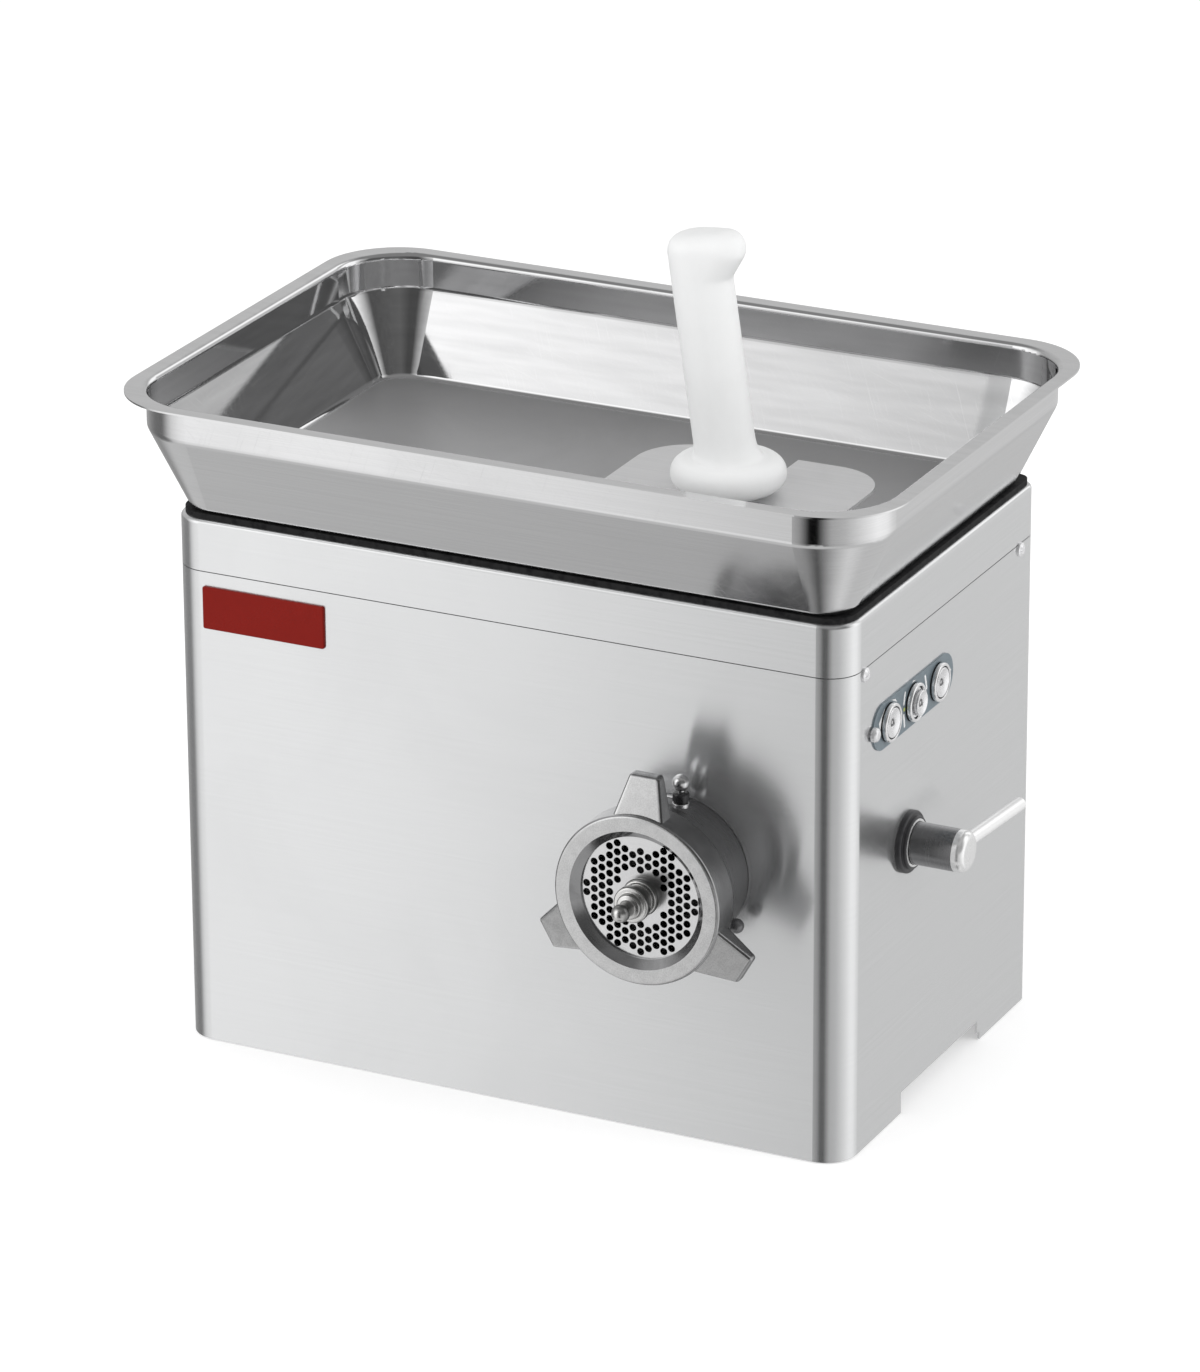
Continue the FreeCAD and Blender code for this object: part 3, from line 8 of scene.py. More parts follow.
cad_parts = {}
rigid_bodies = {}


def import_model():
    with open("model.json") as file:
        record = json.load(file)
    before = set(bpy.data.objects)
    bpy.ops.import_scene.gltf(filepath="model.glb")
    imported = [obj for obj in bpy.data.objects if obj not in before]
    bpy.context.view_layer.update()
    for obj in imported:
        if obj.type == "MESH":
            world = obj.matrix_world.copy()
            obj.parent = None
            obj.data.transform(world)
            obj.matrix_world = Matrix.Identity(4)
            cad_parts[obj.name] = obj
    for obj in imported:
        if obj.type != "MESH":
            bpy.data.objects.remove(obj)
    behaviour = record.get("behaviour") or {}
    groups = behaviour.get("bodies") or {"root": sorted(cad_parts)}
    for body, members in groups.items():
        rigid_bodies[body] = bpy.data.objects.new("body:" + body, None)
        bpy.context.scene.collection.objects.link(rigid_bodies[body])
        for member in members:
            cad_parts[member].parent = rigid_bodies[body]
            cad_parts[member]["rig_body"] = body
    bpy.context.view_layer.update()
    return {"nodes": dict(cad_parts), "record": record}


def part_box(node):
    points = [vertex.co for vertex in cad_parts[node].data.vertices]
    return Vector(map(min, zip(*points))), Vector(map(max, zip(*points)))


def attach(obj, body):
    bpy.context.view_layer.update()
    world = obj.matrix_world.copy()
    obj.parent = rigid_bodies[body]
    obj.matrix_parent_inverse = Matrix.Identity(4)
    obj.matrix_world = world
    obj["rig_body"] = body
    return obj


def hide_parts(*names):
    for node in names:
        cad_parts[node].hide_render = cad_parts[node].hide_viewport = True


# Bench meat grinder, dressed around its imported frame. Metres, Z up, front towards -Y.

for startObject in list(bpy.data.objects):
    bpy.data.objects.remove(startObject)

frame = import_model()
nodes = frame["nodes"]
slotOf = {subpart["node"]: subpart["material_slot"] for subpart in frame["record"]["subparts"]}
scene = bpy.context.scene
scene.view_settings.view_transform = "Standard"
mm = 0.001
up = Vector((0, 0, 1))
right = Vector((1, 0, 0))
forward = Vector((0, -1, 0))
print("frame loaded:", len(nodes), "nodes")


# Node helpers
def setInput(tree, socket, value):
    if isinstance(value, bpy.types.NodeSocket):
        tree.links.new(value, socket)
    elif isinstance(value, tuple) and len(value) < len(socket.default_value):
        socket.default_value = (*value, 1.0)  # a colour without its alpha
    else:
        socket.default_value = value


def addNode(tree, kind, inputs=None, **settings):
    node = tree.nodes.new("ShaderNode" + kind)
    for key, value in settings.items():
        setattr(node, key, value)
    for key, value in (inputs or {}).items():
        setInput(tree, node.inputs[key], value)
    return node


def doMath(tree, operation, first, second=0.0, third=0.0):
    return addNode(tree, "Math", {0: first, 1: second, 2: third}, operation=operation).outputs[0]


def times(tree, first, second):
    return doMath(tree, "MULTIPLY", first, second)


def divide(tree, first, second):
    return doMath(tree, "DIVIDE", first, second)


def addShare(tree, base, mask, share):
    return doMath(tree, "MULTIPLY_ADD", mask, share, base)


def remap(tree, value, low, high, toLow=0.0, toHigh=1.0):
    links = {"Value": value, "From Min": low, "From Max": high, "To Min": toLow, "To Max": toHigh}
    return addNode(tree, "MapRange", links, interpolation_type="SMOOTHSTEP").outputs[0]


def mixValues(tree, factor, first, second):
    return addNode(tree, "Mix", {0: factor, 2: first, 3: second}).outputs[0]


def mixColours(tree, factor, first, second):
    return addNode(tree, "Mix", {0: factor, 6: first, 7: second}, data_type="RGBA").outputs[2]


def tint(tree, mask, share, tone, colour):
    return mixColours(tree, times(tree, mask, share), tone, colour)


def splitUp(tree, vector):
    return addNode(tree, "SeparateXYZ", {0: vector}).outputs


def joinUp(tree, first, second, third):
    return addNode(tree, "CombineXYZ", {0: first, 1: second, 2: third}).outputs[0]


def noise(tree, vector, scale=1.0, **inputs):
    return addNode(tree, "TexNoise", {"Vector": vector, "Scale": scale, **inputs}).outputs["Fac"]


def coordinates(tree):
    return addNode(tree, "TexCoord").outputs


def newGroup(name, **inputs):
    tree = bpy.data.node_groups.new(name, "ShaderNodeTree")
    for label, value in inputs.items():
        kind = "NodeSocketVector" if value is None else "NodeSocketFloat"
        socket = tree.interface.new_socket(name=label, in_out="INPUT", socket_type=kind)
        if value is not None:
            socket.default_value = value
    return tree, tree.nodes.new("NodeGroupInput").outputs


def giveOut(tree, **results):
    for label in results:
        tree.interface.new_socket(name=label, in_out="OUTPUT", socket_type="NodeSocketFloat")
    ends = tree.nodes.new("NodeGroupOutput").inputs
    for label, value in results.items():
        tree.links.new(value, ends[label])
    return tree


def placeGroup(tree, group, **inputs):
    return addNode(tree, "Group", inputs, node_tree=group).outputs


# Shared effects. Lengths are in millimetres, places in the piece's own frame.
brushEffect = Values(
    layers=[(1.0, 0.45), (3.1, 0.35), (9.0, 0.2)],  # size of each layer of lines, and its share
    level=(0.6, 0.8),     # slopes from which a face counts as level
    sideways=(0.5, 0.85),
    detail=1.5, contrast=(0.3, 0.7),
)


def makeBrushLines(e):
    tree, given = newGroup("brushLines", Width=0.25, Length=60.0)
    spot = coordinates(tree)
    place = splitUp(tree, spot["Object"])
    facing = splitUp(tree, spot["Normal"])
    level = remap(tree, doMath(tree, "ABSOLUTE", facing["Z"]), *e.level)
    sideways = remap(tree, doMath(tree, "ABSOLUTE", facing["X"]), *e.sideways)
    along = divide(tree, mixValues(tree, sideways, place["X"], place["Y"]), given["Length"])
    across = divide(tree, mixValues(tree, level, place["Z"], place["Y"]), given["Width"])
    streaks = []
    total = 0.0
    for size, share in e.layers:
        spread = joinUp(tree, divide(tree, along, mm * size), divide(tree, across, mm * size), size)
        streaks.append(noise(tree, spread, Detail=e.detail))
        total = addShare(tree, total, streaks[-1], share)
    return giveOut(tree, Streak=remap(tree, total, *e.contrast), Height=streaks[0])


smearEffect = Values(
    detail=5.0, roughness=0.6, distortion=0.8, contrast=(0.38, 0.72),
    cloudScale=0.37, cloudDetail=2.0,
)


def makeSmears(e):
    tree, given = newGroup("softSmears", Size=60.0)
    spot = coordinates(tree)["Object"]
    scale = divide(tree, 1.0 / mm, given["Size"])
    smear = noise(tree, spot, scale, Detail=e.detail, Roughness=e.roughness, Distortion=e.distortion)
    cloud = noise(tree, spot, times(tree, scale, e.cloudScale), Detail=e.cloudDetail)
    return giveOut(tree, Smear=remap(tree, smear, *e.contrast), Cloud=cloud)


scratchEffect = Values(turns=[(0.3, 0.2, 0.5), (1.1, 0.7, 2.0), (2.3, 1.9, 0.9)], contrast=(0.72, 0.8))


def makeScratches(e):
    tree, given = newGroup("hairScratches", Length=25.0, Width=0.3)
    spot = coordinates(tree)["Object"]
    total = 0.0
    for turn in e.turns:
        turned = addNode(tree, "Mapping", {"Vector": spot, "Rotation": turn}).outputs[0]
        ways = splitUp(tree, turned)
        sizes = (given["Length"], given["Width"], given["Length"])
        steps = [divide(tree, divide(tree, way, size), mm) for way, size in zip(ways, sizes)]
        line = remap(tree, noise(tree, joinUp(tree, *steps), Detail=0.0), *e.contrast)
        total = doMath(tree, "MAXIMUM", total, line)
    return giveOut(tree, Scratch=total)


turnedEffect = Values(detail=2.0, around=0.6, contrast=(0.3, 0.7))


def makeTurnedLines(e):
    tree, given = newGroup("turnedLines", Vector=None, Width=0.3)
    place = splitUp(tree, given["Vector"])
    squares = addShare(tree, times(tree, place[1], place[1]), place[0], place[0])
    radius = doMath(tree, "POWER", squares, 0.5)
    angle = doMath(tree, "ARCTAN2", place[1], place[0])
    step = divide(tree, doMath(tree, "ADD", radius, place[2]), times(tree, given["Width"], mm))
    swings = [times(tree, doMath(tree, wave, angle), e.around) for wave in ("SINE", "COSINE")]
    line = noise(tree, joinUp(tree, step, *swings), Detail=e.detail)
    return giveOut(tree, Streak=remap(tree, line, *e.contrast), Height=line)


grainEffect = Values(
    detail=3.0, roughness=0.65, contrast=(0.32, 0.68), broadScale=0.12, broadDetail=2.0,
    broadShare=0.35, pitScale=0.6, pitDepth=0.4,
)


def makeGrain(e):
    tree, given = newGroup("castGrain", Size=1.0)
    spot = coordinates(tree)["Object"]
    scale = divide(tree, 1.0 / mm, given["Size"])
    fine = noise(tree, spot, scale, Detail=e.detail, Roughness=e.roughness)
    broad = noise(tree, spot, times(tree, scale, e.broadScale), Detail=e.broadDetail)
    tone = mixValues(tree, e.broadShare, fine, broad)
    pitted = {"Vector": spot, "Scale": times(tree, scale, e.pitScale)}
    pits = addNode(tree, "TexVoronoi", pitted).outputs["Distance"]
    height = addShare(tree, fine, pits, e.pitDepth)
    return giveOut(tree, Tone=remap(tree, tone, *e.contrast), Height=height)


rubEffect = Values(level=0.5, patchScale=260.0, patchDetail=3.0, contrast=(0.25, 0.6))


def makeRub(e):
    tree, given = newGroup("rubbedEdges", Reach=0.06)
    bend = addNode(tree, "NewGeometry").outputs["Pointiness"]
    edge = remap(tree, bend, e.level, doMath(tree, "ADD", e.level, given["Reach"]))
    patch = noise(tree, coordinates(tree)["Object"], e.patchScale, Detail=e.patchDetail)
    return giveOut(tree, Rub=times(tree, edge, remap(tree, patch, *e.contrast)))


brushLines = makeBrushLines(brushEffect)
softSmears = makeSmears(smearEffect)
hairScratches = makeScratches(scratchEffect)
turnedLines = makeTurnedLines(turnedEffect)
castGrain = makeGrain(grainEffect)
rubbedEdges = makeRub(rubEffect)
print("effects ready")


# Materials. Each kind has its usual look, and each finish gives what differs from it.
def emptyTree(owner):
    owner.use_nodes = True
    owner.node_tree.nodes.clear()
    return owner.node_tree


def newMaterial(name, **sockets):
    material = bpy.data.materials.new(name)
    tree = emptyTree(material)
    shader = addNode(tree, "BsdfPrincipled")
    addNode(tree, "OutputMaterial", {"Surface": shader.outputs[0]})
    for key, value in sockets.items():
        shader.inputs[key.replace("_", " ")].default_value = value
    return material, tree, shader.inputs


def dress(tree, skin, tone, rough, height, strength, depth):
    bump = addNode(tree, "Bump", {"Height": height, "Strength": strength, "Distance": depth * mm})
    tree.links.new(tone, skin["Base Color"])
    tree.links.new(rough, skin["Roughness"])
    tree.links.new(bump.outputs[0], skin["Normal"])


def shade(colour, share):
    return tuple(channel * share for channel in colour)


def aroundZ(tree, skin):
    tangent = addNode(tree, "Tangent", direction_type="RADIAL", axis="Z")
    tree.links.new(tangent.outputs[0], skin["Tangent"])


brushedLook = {"turn": 0.25, "smearShade": 0.8, "bumpDepth": 0.05}


def brushedSteel(name, **changes):
    look = Values(**(brushedLook | changes))
    material, tree, skin = newMaterial(name, Metallic=look.metal, Anisotropic=look.stretch,
                                       Anisotropic_Rotation=look.turn)
    lines = placeGroup(tree, brushLines, Width=look.lineWidth, Length=look.lineLength)
    smears = placeGroup(tree, softSmears, Size=look.smearSize)
    tone = mixColours(tree, lines["Streak"], shade(look.colour, 1 - look.lineTone), look.colour)
    tone = tint(tree, smears["Smear"], look.smearTone, tone, shade(look.colour, look.smearShade))
    rough = addShare(tree, look.roughness, lines["Streak"], look.lineRough)
    rough = addShare(tree, rough, smears["Smear"], look.smearRough)
    dress(tree, skin, tone, rough, lines["Height"], look.lineBump, look.bumpDepth)
    aroundZ(tree, skin)
    return material


# The tray is brushed outside, polished inside and satin on its floor, whose darker colour is painted shade
def traySteel(name, floorHeight, **values):
    look = Values(**values)
    material, tree, skin = newMaterial(name, Anisotropic=look.stretch, Anisotropic_Rotation=look.turn)
    spot = coordinates(tree)
    place = splitUp(tree, spot["Object"])
    facing = splitUp(tree, spot["Normal"])
    outward = addShare(tree, times(tree, place["Y"], facing["Y"]), place["X"], facing["X"])
    outside = remap(tree, outward, *look.outward)
    low = remap(tree, place["Z"], *[floorHeight + rise * mm for rise in look.floorRise])
    floor = times(tree, low, remap(tree, facing["Z"], *look.floorFacing))
    lines = placeGroup(tree, brushLines, Width=look.lineWidth, Length=look.lineLength)
    clouds = placeGroup(tree, brushLines, Width=look.cloudWidth, Length=look.cloudLength)
    smears = placeGroup(tree, softSmears, Size=look.smearSize)
    scratches = placeGroup(tree, hairScratches, Length=look.scratchLength, Width=look.scratchWidth)
    colour = look.colour
    wall = tint(tree, smears["Smear"], look.smearTone, colour, shade(colour, look.smearShade))
    wall = tint(tree, clouds["Streak"], look.cloudTone, wall, shade(colour, look.cloudShade))
    wall = tint(tree, scratches["Scratch"], look.scratchTone, wall, shade(colour, look.scratchShade))
    brushed = mixColours(tree, lines["Streak"], shade(colour, 1 - look.lineTone), colour)
    # painted shade: the floor takes a darker colour than the walls, smeared at random
    worn = shade(look.floorColour, look.floorShade)
    floorShadeTone = mixColours(tree, smears["Smear"], look.floorColour, worn)
    tone = mixColours(tree, floor, mixColours(tree, outside, wall, brushed), floorShadeTone)
    tree.links.new(mixValues(tree, floor, 1.0, look.floorMetal), skin["Metallic"])
    rough = mixValues(tree, outside, look.insideRough, look.outsideRough)
    rough = mixValues(tree, floor, rough, look.floorRough)
    rough = addShare(tree, rough, smears["Smear"], look.smearRough)
    rough = addShare(tree, rough, scratches["Scratch"], look.scratchRough)
    height = addShare(tree, times(tree, lines["Height"], look.lineBump), smears["Cloud"], look.wave)
    dress(tree, skin, tone, rough, height, look.bump, look.bumpDepth)
    aroundZ(tree, skin)
    return material


turnedLook = {
    "metal": 1.0, "stretch": 0.2, "lineWidth": 0.35, "lineTone": 0.1, "lineRough": 0.06, "lineBump": 0.1,
    "smearSize": 20.0, "smearRough": 0.05, "scratchTone": 0.3, "scratchLength": 12.0, "scratchWidth": 0.22,
    "scratchShade": 1.2, "bumpDepth": 0.05,
}


def turnedSteel(name, middle, turn, **changes):
    look = Values(**(turnedLook | changes))
    material, tree, skin = newMaterial(name, Metallic=look.metal, Anisotropic=look.stretch)
    spot = coordinates(tree)["Object"]
    moved = addNode(tree, "VectorMath", {0: spot, 1: -middle}, operation="ADD").outputs[0]
    turned = addNode(tree, "Mapping", {"Vector": moved, "Rotation": turn}).outputs[0]
    lines = placeGroup(tree, turnedLines, Vector=turned, Width=look.lineWidth)
    smears = placeGroup(tree, softSmears, Size=look.smearSize)
    scratches = placeGroup(tree, hairScratches, Length=look.scratchLength, Width=look.scratchWidth)
    tone = mixColours(tree, lines["Streak"], shade(look.colour, 1 - look.lineTone), look.colour)
    bright = shade(look.colour, look.scratchShade)
    tone = tint(tree, scratches["Scratch"], look.scratchTone, tone, bright)
    rough = addShare(tree, look.roughness, lines["Streak"], look.lineRough)
    rough = addShare(tree, rough, smears["Smear"], look.smearRough)
    dress(tree, skin, tone, rough, lines["Height"], look.lineBump, look.bumpDepth)
    return material


castLook = {
    "metal": 1.0, "gloss": 0.5, "smearShade": 0.7, "rubReach": 0.08, "rubShade": 1.25, "rubPolish": -0.1,
    "bumpDepth": 0.12,
}


def castMetal(name, **changes):
    look = Values(**(castLook | changes))
    material, tree, skin = newMaterial(name, Metallic=look.metal, Specular_IOR_Level=look.gloss)
    grain = placeGroup(tree, castGrain, Size=look.grain)
    smears = placeGroup(tree, softSmears, Size=look.smearSize)
    rub = placeGroup(tree, rubbedEdges, Reach=look.rubReach)
    tone = mixColours(tree, grain["Tone"], shade(look.colour, 1 - look.grainTone), look.colour)
    tone = tint(tree, smears["Smear"], look.smearTone, tone, shade(look.colour, look.smearShade))
    tone = tint(tree, rub["Rub"], look.rub, tone, shade(look.colour, look.rubShade))
    rough = addShare(tree, look.roughness, grain["Tone"], look.grainRough)
    rough = addShare(tree, rough, rub["Rub"], look.rubPolish)
    dress(tree, skin, tone, rough, grain["Height"], look.bump, look.bumpDepth)
    return material


ringLook = {"smearShade": 0.75, "bumpDepth": 0.12}


# Machined where it faces forward; the darker colour round its sides is painted reflection
def paintedSideSteel(name, **changes):
    look = Values(**(ringLook | changes))
    material, tree, skin = newMaterial(name, Metallic=1.0)
    grain = placeGroup(tree, castGrain, Size=look.grain)
    smears = placeGroup(tree, softSmears, Size=look.smearSize)
    facing = splitUp(tree, coordinates(tree)["Normal"])
    front = remap(tree, facing["Y"], *look.facing)
    colour = look.faceColour
    face = mixColours(tree, grain["Tone"], shade(colour, 1 - look.grainTone), colour)
    face = tint(tree, smears["Smear"], look.smearTone, face, shade(colour, look.smearShade))
    # painted reflection: sideways faces take a darker colour than the forward face
    paintedSideSmeared = shade(look.edgeColour, look.smearShade)
    edge = mixColours(tree, smears["Smear"], look.edgeColour, paintedSideSmeared)
    tone = mixColours(tree, front, edge, face)
    rough = mixValues(tree, front, look.edgeRough, look.faceRough)
    rough = addShare(tree, rough, grain["Tone"], look.grainRough)
    dress(tree, skin, tone, rough, grain["Height"], look.bump, look.bumpDepth)
    return material


plasticLook = {
    "ior": 1.5, "gloss": 0.5, "depth": 0.0, "depthReach": 1.0, "depthSpread": (1.0, 1.0, 1.0),
    "rubReach": 0.1, "bumpDepth": 0.1,
}


def mouldedPlastic(name, **changes):
    look = Values(**(plasticLook | changes))
    material, tree, skin = newMaterial(name, IOR=look.ior, Specular_IOR_Level=look.gloss,
                                       Subsurface_Weight=look.depth, Subsurface_Radius=look.depthSpread,
                                       Subsurface_Scale=look.depthReach * mm)
    grain = placeGroup(tree, castGrain, Size=look.grain)
    smears = placeGroup(tree, softSmears, Size=look.smearSize)
    rub = placeGroup(tree, rubbedEdges, Reach=look.rubReach)
    tone = tint(tree, smears["Smear"], look.smearTone, look.colour, look.smearColour)
    tone = tint(tree, rub["Rub"], look.rub, tone, look.rubColour)
    rough = addShare(tree, look.roughness, smears["Smear"], look.smearRough)
    dress(tree, skin, tone, rough, grain["Height"], look.bump, look.bumpDepth)
    return material


def middleOf(node):
    low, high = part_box(node)
    return (low + high) / 2


headMiddle = middleOf("perforated_plate")
leverMiddle = middleOf("lever_bush")
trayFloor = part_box("guard_legs")[0].z
alongY = (math.radians(90), 0.0, 0.0)
alongX = (0.0, math.radians(90), 0.0)

finishes = dict(
    casing_steel=brushedSteel(
        "casingSteel", colour=(0.80, 0.805, 0.81), metal=0.90, roughness=0.17, stretch=0.93,
        lineWidth=0.22, lineLength=70.0, lineTone=0.05, lineRough=0.03, lineBump=0.05, smearSize=160.0,
        smearTone=0.05, smearRough=0.03),
    guard_steel=brushedSteel(
        "guardSteel", colour=(0.93, 0.93, 0.935), metal=0.85, roughness=0.45, stretch=0.2, lineWidth=0.4,
        lineLength=30.0, lineTone=0.08, lineRough=0.08, lineBump=0.15, smearSize=40.0, smearTone=0.1,
        smearRough=0.06),
    # the tray floor's darker floorColour is painted shade
    tray_steel=traySteel(
        "traySteel", trayFloor, colour=(0.80, 0.80, 0.805), insideRough=0.04, outsideRough=0.13,
        outward=(-0.01, 0.01), floorColour=(0.50, 0.50, 0.505), floorMetal=0.6, floorRough=0.42,
        floorShade=0.93, floorRise=(6.0, 2.0), floorFacing=(0.85, 0.99), stretch=0.3, turn=0.25,
        lineWidth=0.3, lineLength=60.0, lineTone=0.07, lineBump=0.05, smearSize=120.0, smearTone=0.08,
        smearRough=0.05, smearShade=0.78, scratchLength=30.0, scratchWidth=0.35, scratchTone=0.2,
        scratchRough=0.06, scratchShade=1.15, cloudWidth=6.0, cloudLength=60.0, cloudTone=0.6,
        cloudShade=0.75, wave=0.5, bump=0.35, bumpDepth=0.2),
    barrel_steel=turnedSteel(
        "barrelSteel", headMiddle, alongY, colour=(0.22, 0.22, 0.225), metal=0.8, roughness=0.24,
        stretch=0.3, lineWidth=0.5, lineTone=0.12, lineRough=0.08, lineBump=0.15, smearSize=25.0,
        smearRough=0.08, scratchTone=0.5),
    turned_steel=turnedSteel(
        "turnedSteel", headMiddle, alongY, colour=(0.88, 0.88, 0.885), roughness=0.16, lineTone=0.08,
        smearRough=0.06),
    # near-black colour is painted shade, seen through the plate's holes
    knife_steel=turnedSteel(
        "knifePaintedShade", headMiddle, alongY, colour=(0.05, 0.05, 0.05), roughness=0.4, lineWidth=0.4,
        lineTone=0.15, lineBump=0.15, smearSize=15.0, smearRough=0.06, scratchTone=0.4),
    cast_steel=paintedSideSteel(
        "paintedSideSteel", faceColour=(0.90, 0.90, 0.90), edgeColour=(0.42, 0.42, 0.425), facing=(-0.8, -0.9),
        faceRough=0.30, edgeRough=0.10, grain=0.9, grainTone=0.28, grainRough=0.1, smearSize=22.0,
        smearTone=0.2, bump=0.15),
    screw_steel=castMetal(
        "screwSteel", colour=(0.86, 0.86, 0.87), metal=0.6, roughness=0.2, grain=0.5, grainTone=0.12,
        grainRough=0.08, smearSize=6.0, smearTone=0.15, rub=0.5, bump=0.08),
    base_steel=castMetal(
        "basePaint", colour=(0.35, 0.36, 0.37), metal=0.0, roughness=0.5, grain=1.4, grainTone=0.15,
        grainRough=0.1, smearSize=50.0, smearTone=0.3, rub=0.3, bump=0.2),
    cast_iron=castMetal(
        "castIron", colour=(0.24, 0.24, 0.245), metal=0.6, roughness=0.55, grain=1.6, grainTone=0.35,
        grainRough=0.15, smearSize=30.0, smearTone=0.3, rub=0.5, bump=0.6),
    cast_aluminium=castMetal(
        "castAluminium", colour=(0.62, 0.63, 0.65), metal=0.9, roughness=0.45, grain=1.5, grainTone=0.25,
        grainRough=0.15, smearSize=40.0, smearTone=0.2, rub=0.5, bump=0.5),
    gear_steel=castMetal(
        "gearSteel", colour=(0.50, 0.50, 0.52), roughness=0.25, grain=0.7, grainTone=0.15, grainRough=0.1,
        smearSize=12.0, smearTone=0.35, rub=0.6, bump=0.12),
    button_metal=castMetal(
        "buttonMetal", colour=(0.92, 0.92, 0.925), metal=0.9, roughness=0.22, grain=0.5, grainTone=0.08,
        grainRough=0.06, smearSize=8.0, smearTone=0.1, rub=0.3, bump=0.06),
    blue_grey_plate=castMetal(
        "blueGreyPlate", colour=(0.18, 0.222, 0.25), metal=0.3, roughness=0.4, grain=0.5, grainTone=0.12,
        grainRough=0.08, smearSize=14.0, smearTone=0.15, rub=0.3, bump=0.1),
    red_badge=castMetal(
        "redBadge", colour=(0.225, 0.010, 0.006), metal=0.0, gloss=0.12, roughness=0.3, grain=0.8,
        grainTone=0.08, grainRough=0.05, smearSize=20.0, smearTone=0.12, rub=0.2, bump=0.05),
    white_plastic=mouldedPlastic(
        "whitePlastic", colour=(0.88, 0.885, 0.885), smearColour=(0.82, 0.825, 0.82),
        rubColour=(0.93, 0.93, 0.93), ior=1.51, depth=0.4, depthReach=5.0, roughness=0.42, grain=1.2,
        smearSize=30.0, smearTone=0.25, smearRough=0.1, rub=0.3, bump=0.06),
    black_plastic=mouldedPlastic(
        "blackPlastic", colour=(0.020, 0.020, 0.022), smearColour=(0.05, 0.05, 0.052),
        rubColour=(0.14, 0.14, 0.145), roughness=0.34, grain=0.6, smearSize=10.0, smearTone=0.4,
        smearRough=0.12, rub=0.6, bump=0.15),
    black_rubber=mouldedPlastic(
        "blackRubber", colour=(0.008, 0.008, 0.009), smearColour=(0.016, 0.016, 0.016),
        rubColour=(0.04, 0.04, 0.04), gloss=0.08, roughness=0.55, grain=0.8, smearSize=20.0,
        smearTone=0.4, smearRough=0.15, rub=0.4, bump=0.25),
    pale_plastic=mouldedPlastic(
        "palePlastic", colour=(0.70, 0.69, 0.64), smearColour=(0.60, 0.58, 0.52),
        rubColour=(0.8, 0.8, 0.78), depth=0.1, depthReach=2.0, roughness=0.4, grain=0.8, smearSize=15.0,
        smearTone=0.3, smearRough=0.1, rub=0.3, bump=0.1),
)
leverSteel = turnedSteel("leverSteel", leverMiddle, alongX, colour=(0.30, 0.30, 0.305), roughness=0.2,
                         scratchTone=0.2)
rodLook = dict(roughness=0.14, lineTone=0.03, lineRough=0.05, lineBump=0.06, scratchTone=0.1)
rodSteel = turnedSteel("rodSteel", leverMiddle, alongX, colour=(0.90, 0.90, 0.90), metal=0.7, **rodLook)
# near-white, half-diffuse colour is a painted highlight along the handle rod
gripPaintedSheen = turnedSteel("gripPaintedSheen", leverMiddle, alongX, colour=(0.97, 0.97, 0.97), metal=0.4, **rodLook)
noseSteel = paintedSideSteel(
    "noseSteel", faceColour=(0.90, 0.895, 0.88), edgeColour=(0.34, 0.34, 0.335), facing=(-0.5, -0.9),
    faceRough=0.24, edgeRough=0.30, grain=0.8, grainTone=0.1, grainRough=0.05, smearSize=9.0,
    smearTone=0.15, bump=0.03)
capSteel = castMetal(
    "capSteel", colour=(0.92, 0.92, 0.93), metal=0.9, roughness=0.24, grain=0.4, grainTone=0.1,
    grainRough=0.08, smearSize=6.0, smearTone=0.2, rub=0.4, bump=0.06)
glossBlack = mouldedPlastic(
    "glossBlack", colour=(0.012, 0.012, 0.013), smearColour=(0.03, 0.03, 0.032),
    rubColour=(0.08, 0.08, 0.08), ior=1.55, roughness=0.1, grain=0.6, smearSize=6.0, smearTone=0.3,
    smearRough=0.08, rub=0.3, bump=0.04)
limePrint = mouldedPlastic(
    "limePrint", colour=(0.45, 0.52, 0.10), smearColour=(0.36, 0.42, 0.10), rubColour=(0.6, 0.62, 0.3),
    roughness=0.4, grain=0.5, smearSize=3.0, smearTone=0.3, smearRough=0.1, rub=0.2, bump=0.05)
# the auger takes the knife's near-black colour too, painted shade behind the plate's holes
paintedShadeInside = {"auger": "knife_steel"}  # keeps the plate's holes dark

for node, slot in slotOf.items():
    nodes[node].data.materials.clear()
    nodes[node].data.materials.append(finishes[paintedShadeInside.get(node, slot)])
print("finishes given to", len(nodes), "nodes")


# Mesh helpers. Sizes are in millimetres, places in metres.
meshing = Values(arcSteps=6, sides=96, sharp=35.0, mergeWithin=0.001, faceWeight=100)


def filleted(corners, steps=meshing.arcSteps):
    line = []  # corners are (across, along, radius), and a radius rounds that corner
    for number, (across, along, radius) in enumerate(corners):
        here = Vector((across, along))
        if not radius:
            line.append(here)
            continue
        before = (Vector(corners[number - 1][:2]) - here).normalized()
        after = (Vector(corners[number + 1][:2]) - here).normalized()
        half = before.angle(after) / 2
        middle = here + (before + after).normalized() * radius / math.sin(half)
        start = here + before * radius / math.tan(half) - middle
        end = here + after * radius / math.tan(half) - middle
        turn = -start.angle_signed(end)
        line += [middle + Matrix.Rotation(turn * step / steps, 2) @ start for step in range(steps + 1)]
    return line


